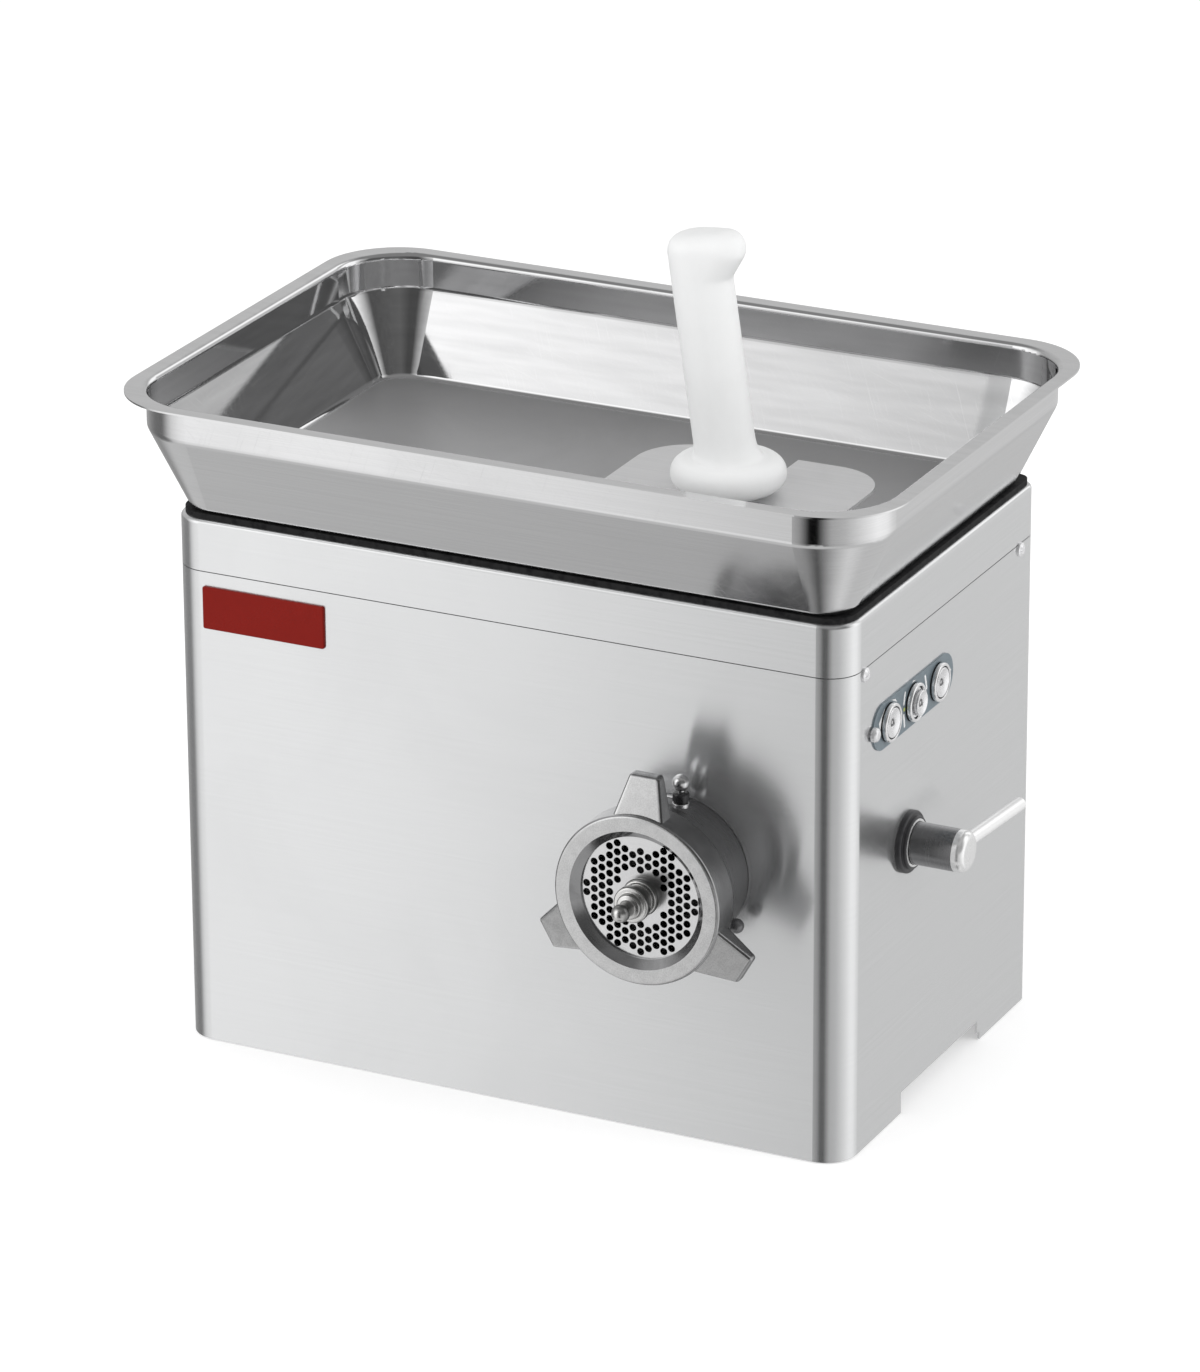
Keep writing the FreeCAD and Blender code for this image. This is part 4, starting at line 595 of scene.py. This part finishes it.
def lathe(shape, line, foot, axis, sides=meshing.sides):
    side = axis.orthogonal().normalized()
    across = axis.cross(side)
    rings = []
    for radius, height in line:
        centre = foot + axis * height * mm
        angles = [2 * math.pi * k / sides for k in range(sides)] if radius > 0 else [0.0]
        rings.append([shape.verts.new(centre + (side * math.cos(a) + across * math.sin(a)) * radius * mm)
                      for a in angles])
    for lower, upper in zip(rings, rings[1:]):
        for k in range(sides):
            after = (k + 1) % sides
            corners = [lower[k % len(lower)], lower[after % len(lower)],
                       upper[after % len(upper)], upper[k % len(upper)]]
            corners = list(dict.fromkeys(corners))
            if len(corners) > 2:
                shape.faces.new(corners)


def finishedMesh(name, shape, sharp=meshing.sharp):
    bmesh.ops.remove_doubles(shape, verts=shape.verts, dist=meshing.mergeWithin * mm)
    bmesh.ops.recalc_face_normals(shape, faces=shape.faces)
    mesh = bpy.data.meshes.new(name)
    shape.to_mesh(mesh)
    shape.free()
    mesh.shade_smooth()
    mesh.set_sharp_from_angle(angle=math.radians(sharp))
    return mesh


def worked(name, mesh, *modifiers):
    holder = bpy.data.objects.new(name, mesh)  # carries the modifiers until the mesh is taken from it
    scene.collection.objects.link(holder)
    for kind, settings in modifiers:
        modifier = holder.modifiers.new(kind.lower(), kind)
        for key, value in settings.items():
            setattr(modifier, key, value)
    result = bpy.data.meshes.new_from_object(holder.evaluated_get(bpy.context.evaluated_depsgraph_get()))
    bpy.data.objects.remove(holder)
    result.name = name
    return result


# A piece without a slot of its own takes its node's place
def addPiece(name, mesh, material, node, slot=None):
    evened = {"weight": meshing.faceWeight, "keep_sharp": True}  # flats stay flat beside their fillets
    mesh = worked(name, mesh, ("WEIGHTED_NORMAL", evened))
    piece = bpy.data.objects.new(name, mesh)
    scene.collection.objects.link(piece)
    mesh.materials.clear()
    mesh.materials.append(material)
    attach(piece, nodes[node]["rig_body"])
    if slot is None:
        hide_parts(node)


def turnPiece(name, line, foot, axis, material, node, slot=None, sides=meshing.sides,
              sharp=meshing.sharp):
    shape = bmesh.new()
    lathe(shape, line, foot, axis, sides)
    addPiece(name, finishedMesh(name, shape, sharp), material, node, slot)


# Pusher: one moulded skin over plunger, flange, leaning handle and bent end
pusherShape = Values(
    plungerRadius=22.5, plungerRound=4.5, footRadius=25.5, footHeight=2.1, seatGap=1.1,
    flangeRadius=38.2, flangeHeight=21.0, flangeRound=10.0,
    handleRadius=20.2, handleLength=162.5, lean=8.3,
    rootRadius=29.0, rootRise=24.0, rootCurve=2.4, rootSteps=6,
    bendOut=15.5, bendRadius=17.2, bendHeight=24.0, bendSlope=16.0, bendRound=11.0,
    bendUnder=11.5, bendSteps=10, voxel=1.3, smoothing=16, smoothShare=0.5,
)


def makePusher(s):
    axis = middleOf("throat_tube")
    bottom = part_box("pusher")[0].z
    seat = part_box("throat_guard")[1].z + s.seatGap * mm
    foot = Vector((axis.x, axis.y, bottom))
    step = (seat - bottom) / mm
    flange = step + s.footHeight
    top = flange + s.flangeHeight
    shape = bmesh.new()
    lathe(shape, filleted([
        (0, 0, 0), (s.plungerRadius, 0, s.plungerRound), (s.plungerRadius, step, 0),
        (s.footRadius, step, 0), (s.footRadius, flange, 0),
        (s.flangeRadius, flange, s.flangeRound), (s.flangeRadius, top, s.flangeRound),
        (0, top, 0)]), foot, up)
    lean = Vector((-math.sin(math.radians(s.lean)), 0, math.cos(math.radians(s.lean))))
    aside = Vector((lean.z, 0, -lean.x))
    root = foot + up * (flange + s.flangeHeight / 2) * mm
    length, reach = s.handleLength, s.handleRadius
    flare = []
    for k in range(s.rootSteps + 1):
        share = k / s.rootSteps
        girth = reach + (s.rootRadius - reach) * (1 - share) ** s.rootCurve
        flare.append((girth, s.rootRise * share, 0))
    handle = [(0, 0, 0)] + flare + [(reach, length, s.bendRound), (0, length, 0)]
    lathe(shape, filleted(handle), root, lean)
    for k in range(1, s.bendSteps + 1):
        share = k / s.bendSteps
        girth = reach + (s.bendRadius - reach) * share
        under = length - s.bendHeight - s.bendSlope * (1 - share)
        bend = filleted([(0, under, 0), (girth, under, s.bendUnder), (girth, length, s.bendRound),
                         (0, length, 0)])
        lathe(shape, bend, root + aside * s.bendOut * share * mm, lean)
    mesh = worked("pusherSkin", finishedMesh("pusherRough", shape),
                  ("REMESH", {"mode": "VOXEL", "voxel_size": s.voxel * mm}),
                  ("SMOOTH", {"factor": s.smoothShare, "iterations": s.smoothing}))
    mesh.shade_smooth()
    addPiece("pusherBody", mesh, finishes["white_plastic"], "pusher")


makePusher(pusherShape)
print("pusher moulded")


# Ring nut: turned rim with three cast wings
ringShape = Values(
    radius=59.0, depth=25.0, mouth=42.5, mouthBevel=5.5, lip=7.0, bore=53.3, edge=2.2,
    edgeSteps=4, sides=128, sharp=28.0,
    wings=3, firstWing=90.0, wingTip=83.0, wingRoot=54.5, rootWidth=36.6, tipWidth=21.0,
    rootThick=14.9, tipThick=8.0, sweep=13.0, rootBack=2.0,
    wingBevel=2.6, bevelSteps=3, bevelCurve=0.6, wingSharp=30.0,
)


def makeWings(s, foot):
    back = -forward
    shape = bmesh.new()
    for number in range(s.wings):
        angle = math.radians(s.firstWing + 360 * number / s.wings)
        out = Vector((math.cos(angle), 0, math.sin(angle)))
        side = Vector((-math.sin(angle), 0, math.cos(angle)))
        ends = []
        for reach, width, depth, thick in ((s.wingRoot, s.rootWidth, s.rootBack, s.rootThick),
                                           (s.wingTip, s.tipWidth, s.sweep, s.tipThick)):
            places = [out * reach + side * width * across + back * (depth + thick * deep)
                      for across, deep in ((-0.5, 0), (0.5, 0), (0.5, 1), (-0.5, 1))]
            ends.append([shape.verts.new(foot + place * mm) for place in places])
        root, tip = ends
        shape.faces.new(root)
        shape.faces.new(tip[::-1])
        sides = [shape.faces.new((root[k], tip[k], tip[(k + 1) % 4], root[(k + 1) % 4])) for k in range(4)]
        edges = dict.fromkeys(edge for face in sides for edge in face.edges)
        outer = [edge for edge in edges if not all(corner in root for corner in edge.verts)]
        bmesh.ops.bevel(shape, geom=outer, offset=s.wingBevel * mm, segments=s.bevelSteps,
                        affect="EDGES", profile=s.bevelCurve)
    return finishedMesh("ringWings", shape, s.wingSharp)


def makeRing(s):
    foot = Vector((headMiddle.x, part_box("ring_nut")[0].y, headMiddle.z))
    shape = bmesh.new()
    lathe(shape, filleted([
        (s.mouth + s.mouthBevel, 0, 0), (s.radius, 0, s.edge),
        (s.radius, s.depth, s.edge), (s.bore, s.depth, 0), (s.bore, s.lip, 0),
        (s.mouth, s.lip, 0), (s.mouth, s.mouthBevel, 0),
        (s.mouth + s.mouthBevel, 0, 0)], s.edgeSteps), foot, -forward, s.sides)
    rim = finishedMesh("ringRim", shape)
    wings = bpy.data.objects.new("ringWings", makeWings(s, foot))
    scene.collection.objects.link(wings)
    mesh = worked("ringNut", rim, ("BOOLEAN", {"operation": "UNION", "object": wings, "solver": "EXACT"}))
    bpy.data.objects.remove(wings)
    mesh.shade_smooth()
    mesh.set_sharp_from_angle(angle=math.radians(s.sharp))
    addPiece("ringNut", mesh, finishes["cast_steel"], "ring_nut")


makeRing(ringShape)
print("ring nut turned")


# Push-buttons: rubber gasket, bright bezel and dished cap on each
buttonShape = Values(
    outer=13.2, bore=10.9, gasketHeight=1.1, gasketInset=0.1,
    bezelHeight=4.0, bezelRound=1.1, bezelFoot=0.4, bezelInner=0.5,
    capRadius=10.15, stopRadius=8.6, capStep=0.01, capRound=0.7, dish=1.2, dishSteps=6,
    dimple=3.4, dimpleDeep=0.5, dimpleEdge=0.4,
    markInner=1.3, markOuter=2.7, markThick=0.12,
    edgeSteps=4, sides=64, markSides=32, capSharp=40.0, bezelSharp=50.0,
)


def hoop(inner, outer, low, high):
    return [(inner, low), (outer, low), (outer, high), (inner, high), (inner, low)]


def capLine(s, radius, back, front):
    guide = s.bezelHeight / 2
    floor = front - s.dish
    rim = filleted([(s.capRadius, guide, 0), (radius, guide + s.capStep, 0),
                    (radius, front, s.capRound), (0, front, 0)], s.edgeSteps)[1:-1]
    flat = radius - s.capRound
    bowl = []
    for k in range(1, s.dishSteps + 1):
        share = k / s.dishSteps
        bowl.append((flat - (flat - s.dimple) * share, front - s.dish * (1 - (1 - share) ** 2)))
    pit = floor - s.dimpleDeep
    foot = [(0, back), (s.capRadius, back), (s.capRadius, guide)]
    return foot + rim + bowl + [(s.dimple - s.dimpleEdge, pit), (0, pit)]


def makeButtons(s):
    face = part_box("button_plate")[1].x
    gaskets = bmesh.new()
    bezels = bmesh.new()
    for node in ("start_button", "stop_button", "reverse_button"):
        low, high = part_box(node)
        middle = (low + high) / 2
        seat = Vector((face, middle.y, middle.z))
        gasket = hoop(s.bore, s.outer - s.gasketInset, 0, s.gasketHeight)
        lathe(gaskets, gasket, seat, right, s.sides)
        lathe(bezels, filleted([
            (s.bore, s.gasketHeight, 0), (s.outer, s.gasketHeight, s.bezelFoot),
            (s.outer, s.bezelHeight, s.bezelRound), (s.bore, s.bezelHeight, s.bezelInner),
            (s.bore, s.gasketHeight, 0)], s.edgeSteps), seat, right, s.sides)
        radius = s.stopRadius if node == "stop_button" else s.capRadius
        back, front = (low.x - face) / mm, (high.x - face) / mm
        turnPiece(node + "Cap", capLine(s, radius, back, front), seat, right, capSteel, node,
                  sides=s.sides, sharp=s.capSharp)
        floor = seat + right * (front - s.dish - s.dimpleDeep) * mm
        turnPiece(node + "Mark", hoop(s.markInner, s.markOuter, 0, s.markThick), floor, right,
                  finishes["black_plastic"], node, "black_plastic", sides=s.markSides)
    addPiece("buttonGaskets", finishedMesh("buttonGaskets", gaskets), finishes["black_rubber"],
             "button_bezels", "black_rubber")
    addPiece("buttonBezels", finishedMesh("buttonBezels", bezels, s.bezelSharp),
             finishes["button_metal"], "button_bezels")


makeButtons(buttonShape)
print("buttons made")


# Printed marks on the button plate, as (along, up) from its middle
markShape = Values(
    rise=0.08,
    lineWidth=2.0, tipShare=1 / 3,
    lines=[((-13.9, 11.5), (-16.0, 3.4)), ((-16.0, -3.6), (-14.4, -12.6)), ((18.1, 11.7), (21.2, 1.6))],
    wedges=[
        [(-46.5, 12.0), (-55.5, 4.5), (-54.2, -1.5)], [(-29.5, 12.6), (-36.5, 14.2), (-27.0, 9.6)],
        [(3.4, 14.0), (-3.4, 14.2), (-1.0, 15.2)], [(56.0, 5.2), (60.8, 1.0), (58.2, -4.4), (54.4, 0.2)],
    ],
    dot=(-15.2, -0.2), dotRadius=1.3, dotSides=16,
)


def printShape(shape, corners, middle, rise):
    lower = [shape.verts.new(middle + Vector((0, along, high)) * mm) for along, high in corners]
    upper = [shape.verts.new(corner.co + right * rise * mm) for corner in lower]
    shape.faces.new(upper)
    for k in range(len(lower)):
        after = (k + 1) % len(lower)
        shape.faces.new((lower[k], lower[after], upper[after], upper[k]))


def makeMarks(s):
    middle = middleOf("button_plate")
    middle.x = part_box("button_plate")[1].x
    white = bmesh.new()
    for ends in s.lines:
        start, end = Vector(ends[0]), Vector(ends[1])
        aside = (end - start).orthogonal().normalized() * s.lineWidth / 2
        tip = (end - start).normalized() * s.lineWidth * s.tipShare
        stroke = [start + aside, start - tip, start - aside, end - aside, end + tip, end + aside]
        printShape(white, stroke, middle, s.rise)
    for wedge in s.wedges:
        printShape(white, wedge, middle, s.rise)
    addPiece("plateMarks", finishedMesh("plateMarks", white), finishes["white_plastic"], "button_plate",
             "white_plastic")
    green = bmesh.new()
    along, high = s.dot
    angles = [2 * math.pi * k / s.dotSides for k in range(s.dotSides)]
    rim = [(along + s.dotRadius * math.cos(a), high + s.dotRadius * math.sin(a)) for a in angles]
    printShape(green, rim, middle, s.rise)
    addPiece("plateDot", finishedMesh("plateDot", green), limePrint, "button_plate", "pale_plastic")


makeMarks(markShape)
print("plate printed")


# Clamp lever: rubber bush, washer, turned head with a bright end, handle rod
leverShape = Values(
    bore=8.1, spigot=5.5, spigotRadius=16.0, flangeRadius=21.3, flangeThick=4.0,
    flangeRound=1.7, flangeFoot=0.4, stepRadius=18.0, stepThick=2.5, stepRound=1.0,
    stepFoot=0.5,
    washerInner=14.7, washerOuter=16.3, washerThick=0.9, washerOut=0.15, washerRound=0.3,
    shaftRadius=8.0, shaftRound=0.8, headRadius=14.4, headLength=38.0, headRound=5.0,
    headFoot=0.8, capLength=8.0, capGroove=0.3, capSunk=1.0,
    rodRadius=4.7, rodReach=111.3, rodFromEnd=11.4, rodRound=1.7, rodDroop=4.5,
    washerSteps=3, capSteps=10, rodSides=64,
)


def makeLever(s):
    foot = Vector((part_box("lever_bush")[0].x, leverMiddle.y, leverMiddle.z))
    flange = s.spigot + s.flangeThick
    step = flange + s.stepThick
    turnPiece("leverBush", filleted([
        (s.bore, 0, 0), (s.spigotRadius, 0, 0), (s.spigotRadius, s.spigot, 0),
        (s.flangeRadius, s.spigot, s.flangeFoot), (s.flangeRadius, flange, s.flangeRound),
        (s.stepRadius, flange, s.stepFoot), (s.stepRadius, step, s.stepRound),
        (s.bore, step, 0), (s.bore, 0, 0)]), foot, right,
        finishes[slotOf["lever_bush"]], "lever_bush")
    seat = foot + right * (step - s.washerThick + s.washerOut) * mm
    turnPiece("leverWasher", filleted([
        (s.washerInner, 0, 0), (s.washerOuter, 0, 0),
        (s.washerOuter, s.washerThick, s.washerRound), (s.washerInner, s.washerThick, 0),
        (s.washerInner, 0, 0)], s.washerSteps), seat, right, rodSteel, "lever_bush", "screw_steel")
    back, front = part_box("clamp_screw")
    foot = Vector((back.x, leverMiddle.y, leverMiddle.z))
    end = (front.x - back.x) / mm
    shoulder = end - s.headLength
    neck = end - s.capLength
    sunk = neck - s.capSunk
    turnPiece("clampHead", filleted([
        (0, 0, 0), (s.shaftRadius, 0, s.shaftRound), (s.shaftRadius, shoulder, 0),
        (s.headRadius, shoulder, s.headFoot), (s.headRadius, neck, s.capGroove), (0, neck, 0)]),
        foot, right, leverSteel, "clamp_screw")
    turnPiece("clampCap", filleted([
        (0, sunk, 0), (s.headRadius - s.capSunk, sunk, 0), (s.headRadius, neck, s.capGroove),
        (s.headRadius, end, s.headRound), (0, end, 0)], s.capSteps),
        foot, right, rodSteel, "clamp_screw", slotOf["clamp_screw"])
    droop = math.radians(s.rodDroop)
    seat = foot + right * (end - s.rodFromEnd) * mm
    turnPiece("clampGrip", filleted([
        (0, 0, 0), (s.rodRadius, 0, 0), (s.rodRadius, s.rodReach, s.rodRound),
        (0, s.rodReach, 0)]), seat, Vector((0, math.cos(droop), -math.sin(droop))),
        gripPaintedSheen, "clamp_rod", sides=s.rodSides)


makeLever(leverShape)
print("lever made")


# Head fittings: post collar on its steel foot, narrow sleeve at the panel, and the spindle's turned nose
postShape = Values(
    height=9.1, radius=5.6, round=1.8, waist=4.7, waistFrom=-0.4, waistTo=0.6,
    shoulder=1.2, shoulderRound=0.4, footHeight=1.8, footRound=0.5, footSunk=1.5,
    sides=64,
)
sleeveShape = Values(
    radius=50.9, bore=48.6, gap=0.7, length=4.9, round=0.8, steps=4, sides=128,
)
noseShape = Values(  # radius, end and rounding of each step
    square=18.0, squareLength=12.5, start=12.0,
    boss=(12.5, 12.4, 1.4), groove=(9.5, 19.4, 0.9), grooveFoot=0.7,
    flange=(12.4, 24.4, 1.5), flangeFoot=0.4, shoulder=(8.6, 27.9, 1.5), shoulderFoot=0.8,
    neck=5.2, neckRise=0.8, neckRound=1.0, ballMiddle=38.4, ball=6.1, ballSteps=16,
    sides=72,
)


def makePost(s):
    seat = middleOf("post_collar")
    seat.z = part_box("post_collar")[1].z - s.height * mm
    radius, foot = s.radius, s.footHeight
    low = foot + s.waistFrom
    turnPiece("postCollar", filleted([
        (0, low, 0), (s.waist, low, 0), (s.waist, foot + s.waistTo, 0),
        (radius, foot + s.shoulder, s.shoulderRound), (radius, s.height, s.round),
        (0, s.height, 0)]), seat, up, glossBlack, "post_collar", sides=s.sides)
    turnPiece("postFoot", filleted([
        (0, -s.footSunk, 0), (radius, -s.footSunk, 0), (radius, foot, s.footRound), (0, foot, 0)]),
        seat, up, finishes["turned_steel"], "post_collar", "turned_steel", sides=s.sides)


def makeSleeve(s):
    panel = Vector((headMiddle.x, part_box("casing_shell")[0].y, headMiddle.z))
    reach = s.length - s.gap
    turnPiece("barrelSleeve", filleted([
        (s.bore, 0, 0), (s.radius, 0, s.round), (s.radius, reach, 0), (s.bore, reach, 0),
        (s.bore, 0, 0)], s.steps), panel + forward * s.gap * mm, forward,
        finishes["barrel_steel"], "head_barrel", "barrel_steel", sides=s.sides)


def makeNose(s):
    tail = Vector((headMiddle.x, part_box("auger_spindle")[1].y, headMiddle.z))
    waist = s.ballMiddle - math.sqrt(s.ball ** 2 - s.neck ** 2)
    steps = filleted([
        (0, 0, 0), (s.boss[0], 0, 0), s.boss, (s.groove[0], s.boss[1], s.grooveFoot),
        s.groove, (s.flange[0], s.groove[1], s.flangeFoot), s.flange,
        (s.shoulder[0], s.flange[1], s.shoulderFoot), s.shoulder,
        (s.neck, s.shoulder[1] + s.neckRise, s.neckRound), (s.neck, waist, 0)])
    turn = math.asin(s.neck / s.ball)
    angles = [turn + (math.pi - turn) * k / s.ballSteps for k in range(1, s.ballSteps)]
    dome = [(s.ball * math.sin(a), s.ballMiddle - s.ball * math.cos(a)) for a in angles]
    line = steps + dome + [(0, s.ballMiddle + s.ball)]
    shape = bmesh.new()
    lathe(shape, line, tail + forward * s.start * mm, forward, s.sides)
    block = bmesh.ops.create_cube(shape, size=1.0)["verts"]
    bmesh.ops.scale(shape, vec=(s.square * mm, s.squareLength * mm, s.square * mm), verts=block)
    bmesh.ops.translate(shape, vec=tail + forward * s.squareLength / 2 * mm, verts=block)
    addPiece("spindleNose", finishedMesh("spindleNose", shape), noseSteel, "auger_spindle")


makePost(postShape)
makeSleeve(sleeveShape)
makeNose(noseShape)
print("head fittings turned")


# Studio: soft light all round, and the tones that the metal mirrors
studio = Values(
    floorSize=14.0,
    floorColour=(0.80, 0.80, 0.80),
    floorGlow=0.42,          # keeps the open floor white for the camera
    sideLight=1.08,          # what lights the object from all round
    topLight=0.55,           # and from straight above
    topFrom=(15.0, 70.0),
    lowTones=[               # mirrored below eye level, by azimuth from the front towards the right
        (-180, 0.65), (-150, 0.5), (-95, 0.18), (-75, 0.15), (-56, 0.75), (-28, 1.1), (-24, 0.57), (2, 0.0),
        (14, 0.0), (34, 0.45), (55, 0.55), (90, 0.9), (110, 1.08), (130, 1.03), (155, 0.66), (180, 0.65),
    ],
    highTones=[              # mirrored above eye level
        (-180, 0.5), (-155, 0.6), (-85, 0.45), (-45, 1.4), (-31, 1.4), (-24, 0.7), (-12, 0.25), (-4, 0.08),
        (10, 0.08), (30, 0.14), (85, 0.1), (118, 1.25), (135, 1.25), (145, 0.5), (150, 0.6), (157, 1.25),
        (167, 1.25), (180, 0.5),
    ],
    eyeLevel=(-6.0, 14.0),   # heights between which the low tones give way to the high ones
    ceiling=0.26,
    ceilingFrom=(36.0, 58.0),
    fade=(-26.0, -17.0, 0.90, 1.05),  # low tones darken downwards between these heights
    apron=0.60,              # between the low tones and the ground
    apronFrom=(-32.0, -46.0),
    groundTones=[(-180, 0.6), (-60, 0.45), (0, 0.08), (94, 0.75), (180, 0.6)],  # right in front
    groundFrom=(-54.0, -64.0),
    lampAim=(0.0, 0.0, 0.2),
    lamps=[                  # azimuth, height, distance, size, power
        (-45.0, 30.0, 2.4, 1.6, 14.0),
        (85.0, 30.0, 2.6, 1.4, 14.0),
    ],
)


def towards(azimuth, height):
    a, h = math.radians(azimuth), math.radians(height)
    return Vector((math.sin(a) * math.cos(h), -math.cos(a) * math.cos(h), math.sin(h)))


def makeFloor(s):
    half = s.floorSize / 2
    corners = [(-half, -half, 0), (half, -half, 0), (half, half, 0), (-half, half, 0)]
    mesh = bpy.data.meshes.new("floor")
    mesh.from_pydata(corners, [], [(0, 1, 2, 3)])
    floor = bpy.data.objects.new("floor", mesh)
    scene.collection.objects.link(floor)
    floor.visible_glossy = False  # metal shows the studio's own tones instead
    material = bpy.data.materials.new("paleFloor")
    tree = emptyTree(material)
    plain = addNode(tree, "BsdfDiffuse", {"Color": s.floorColour})
    path = addNode(tree, "LightPath").outputs
    seen = doMath(tree, "MAXIMUM", path["Is Camera Ray"], path["Is Transmission Ray"])
    glow = addNode(tree, "Emission", {"Strength": times(tree, seen, s.floorGlow)})
    both = addNode(tree, "AddShader", {0: plain.outputs[0], 1: glow.outputs[0]})
    addNode(tree, "OutputMaterial", {"Surface": both.outputs[0]})
    mesh.materials.append(material)


def tonesAround(tree, azimuth, stops):
    ramp = addNode(tree, "ValToRGB", {"Fac": doMath(tree, "MULTIPLY_ADD", azimuth, 1 / 360, 0.5)})
    marks = ramp.color_ramp.elements
    while len(marks) < len(stops):
        marks.new(1.0)
    for mark, (place, tone) in zip(marks, stops):
        mark.position = place / 360 + 0.5
        mark.color = (tone, tone, tone, 1.0)
    return ramp.outputs["Color"]


def makeWorld(s):
    world = bpy.data.worlds.new("studio")
    scene.world = world
    world.cycles.sampling_method = "NONE"  # so that each ray reads its own tone below
    tree = emptyTree(world)
    way = splitUp(tree, coordinates(tree)["Generated"])
    height = doMath(tree, "DEGREES", doMath(tree, "ARCSINE", way["Z"]))
    turn = doMath(tree, "ARCTAN2", way["X"], times(tree, way["Y"], -1.0))
    azimuth = doMath(tree, "DEGREES", turn)
    low, high, ground = [tonesAround(tree, azimuth, t) for t in (s.lowTones, s.highTones, s.groundTones)]
    tone = times(tree, low, remap(tree, height, *s.fade))
    for heights, nextTone in ((s.eyeLevel, high), (s.ceilingFrom, s.ceiling), (s.apronFrom, s.apron),
                              (s.groundFrom, ground)):
        tone = mixValues(tree, remap(tree, height, *heights), tone, nextTone)
    path = addNode(tree, "LightPath").outputs
    mirrored = doMath(tree, "MAXIMUM", path["Is Glossy Ray"], path["Is Transmission Ray"])
    soft = remap(tree, height, *s.topFrom, s.sideLight, s.topLight)
    lit = mixValues(tree, mirrored, soft, tone)
    level = mixValues(tree, path["Is Camera Ray"], lit, 1.0)
    shine = addNode(tree, "Background", {"Color": (1.0, 1.0, 1.0), "Strength": level})
    addNode(tree, "OutputWorld", {"Surface": shine.outputs[0]})


def makeLamps(s):
    aim = Vector(s.lampAim)
    for number, (azimuth, height, distance, size, power) in enumerate(s.lamps):
        lamp = bpy.data.lights.new(f"softbox{number}", "AREA")
        lamp.size = size
        lamp.energy = power
        holder = bpy.data.objects.new(f"softbox{number}", lamp)
        holder.location = aim + towards(azimuth, height) * distance
        holder.rotation_euler = (aim - holder.location).to_track_quat("-Z", "Y").to_euler()
        holder.visible_glossy = False
        scene.collection.objects.link(holder)


makeFloor(studio)
makeWorld(studio)
makeLamps(studio)
print("studio set")


# Camera, as the photograph was taken
view = Values(
    azimuth=26.31, height=21.65, roll=-0.30, distance=4.882,
    aim=(-0.0396, 0.0701, 0.2115), lens=186.09, sensor=36.0,
)


def makeCamera(s):
    back = towards(s.azimuth, s.height)
    side = (-back).cross(up).normalized()
    roll = Matrix.Rotation(math.radians(s.roll), 3, back)
    side, upward = roll @ side, roll @ side.cross(-back)
    camera = bpy.data.objects.new("camera", bpy.data.cameras.new("camera"))
    camera.data.lens = s.lens
    camera.data.sensor_width = s.sensor
    turn = Matrix((side, upward, back)).transposed()
    camera.matrix_world = Matrix.Translation(Vector(s.aim) + back * s.distance) @ turn.to_4x4()
    scene.collection.objects.link(camera)
    scene.camera = camera


makeCamera(view)
print("camera set")
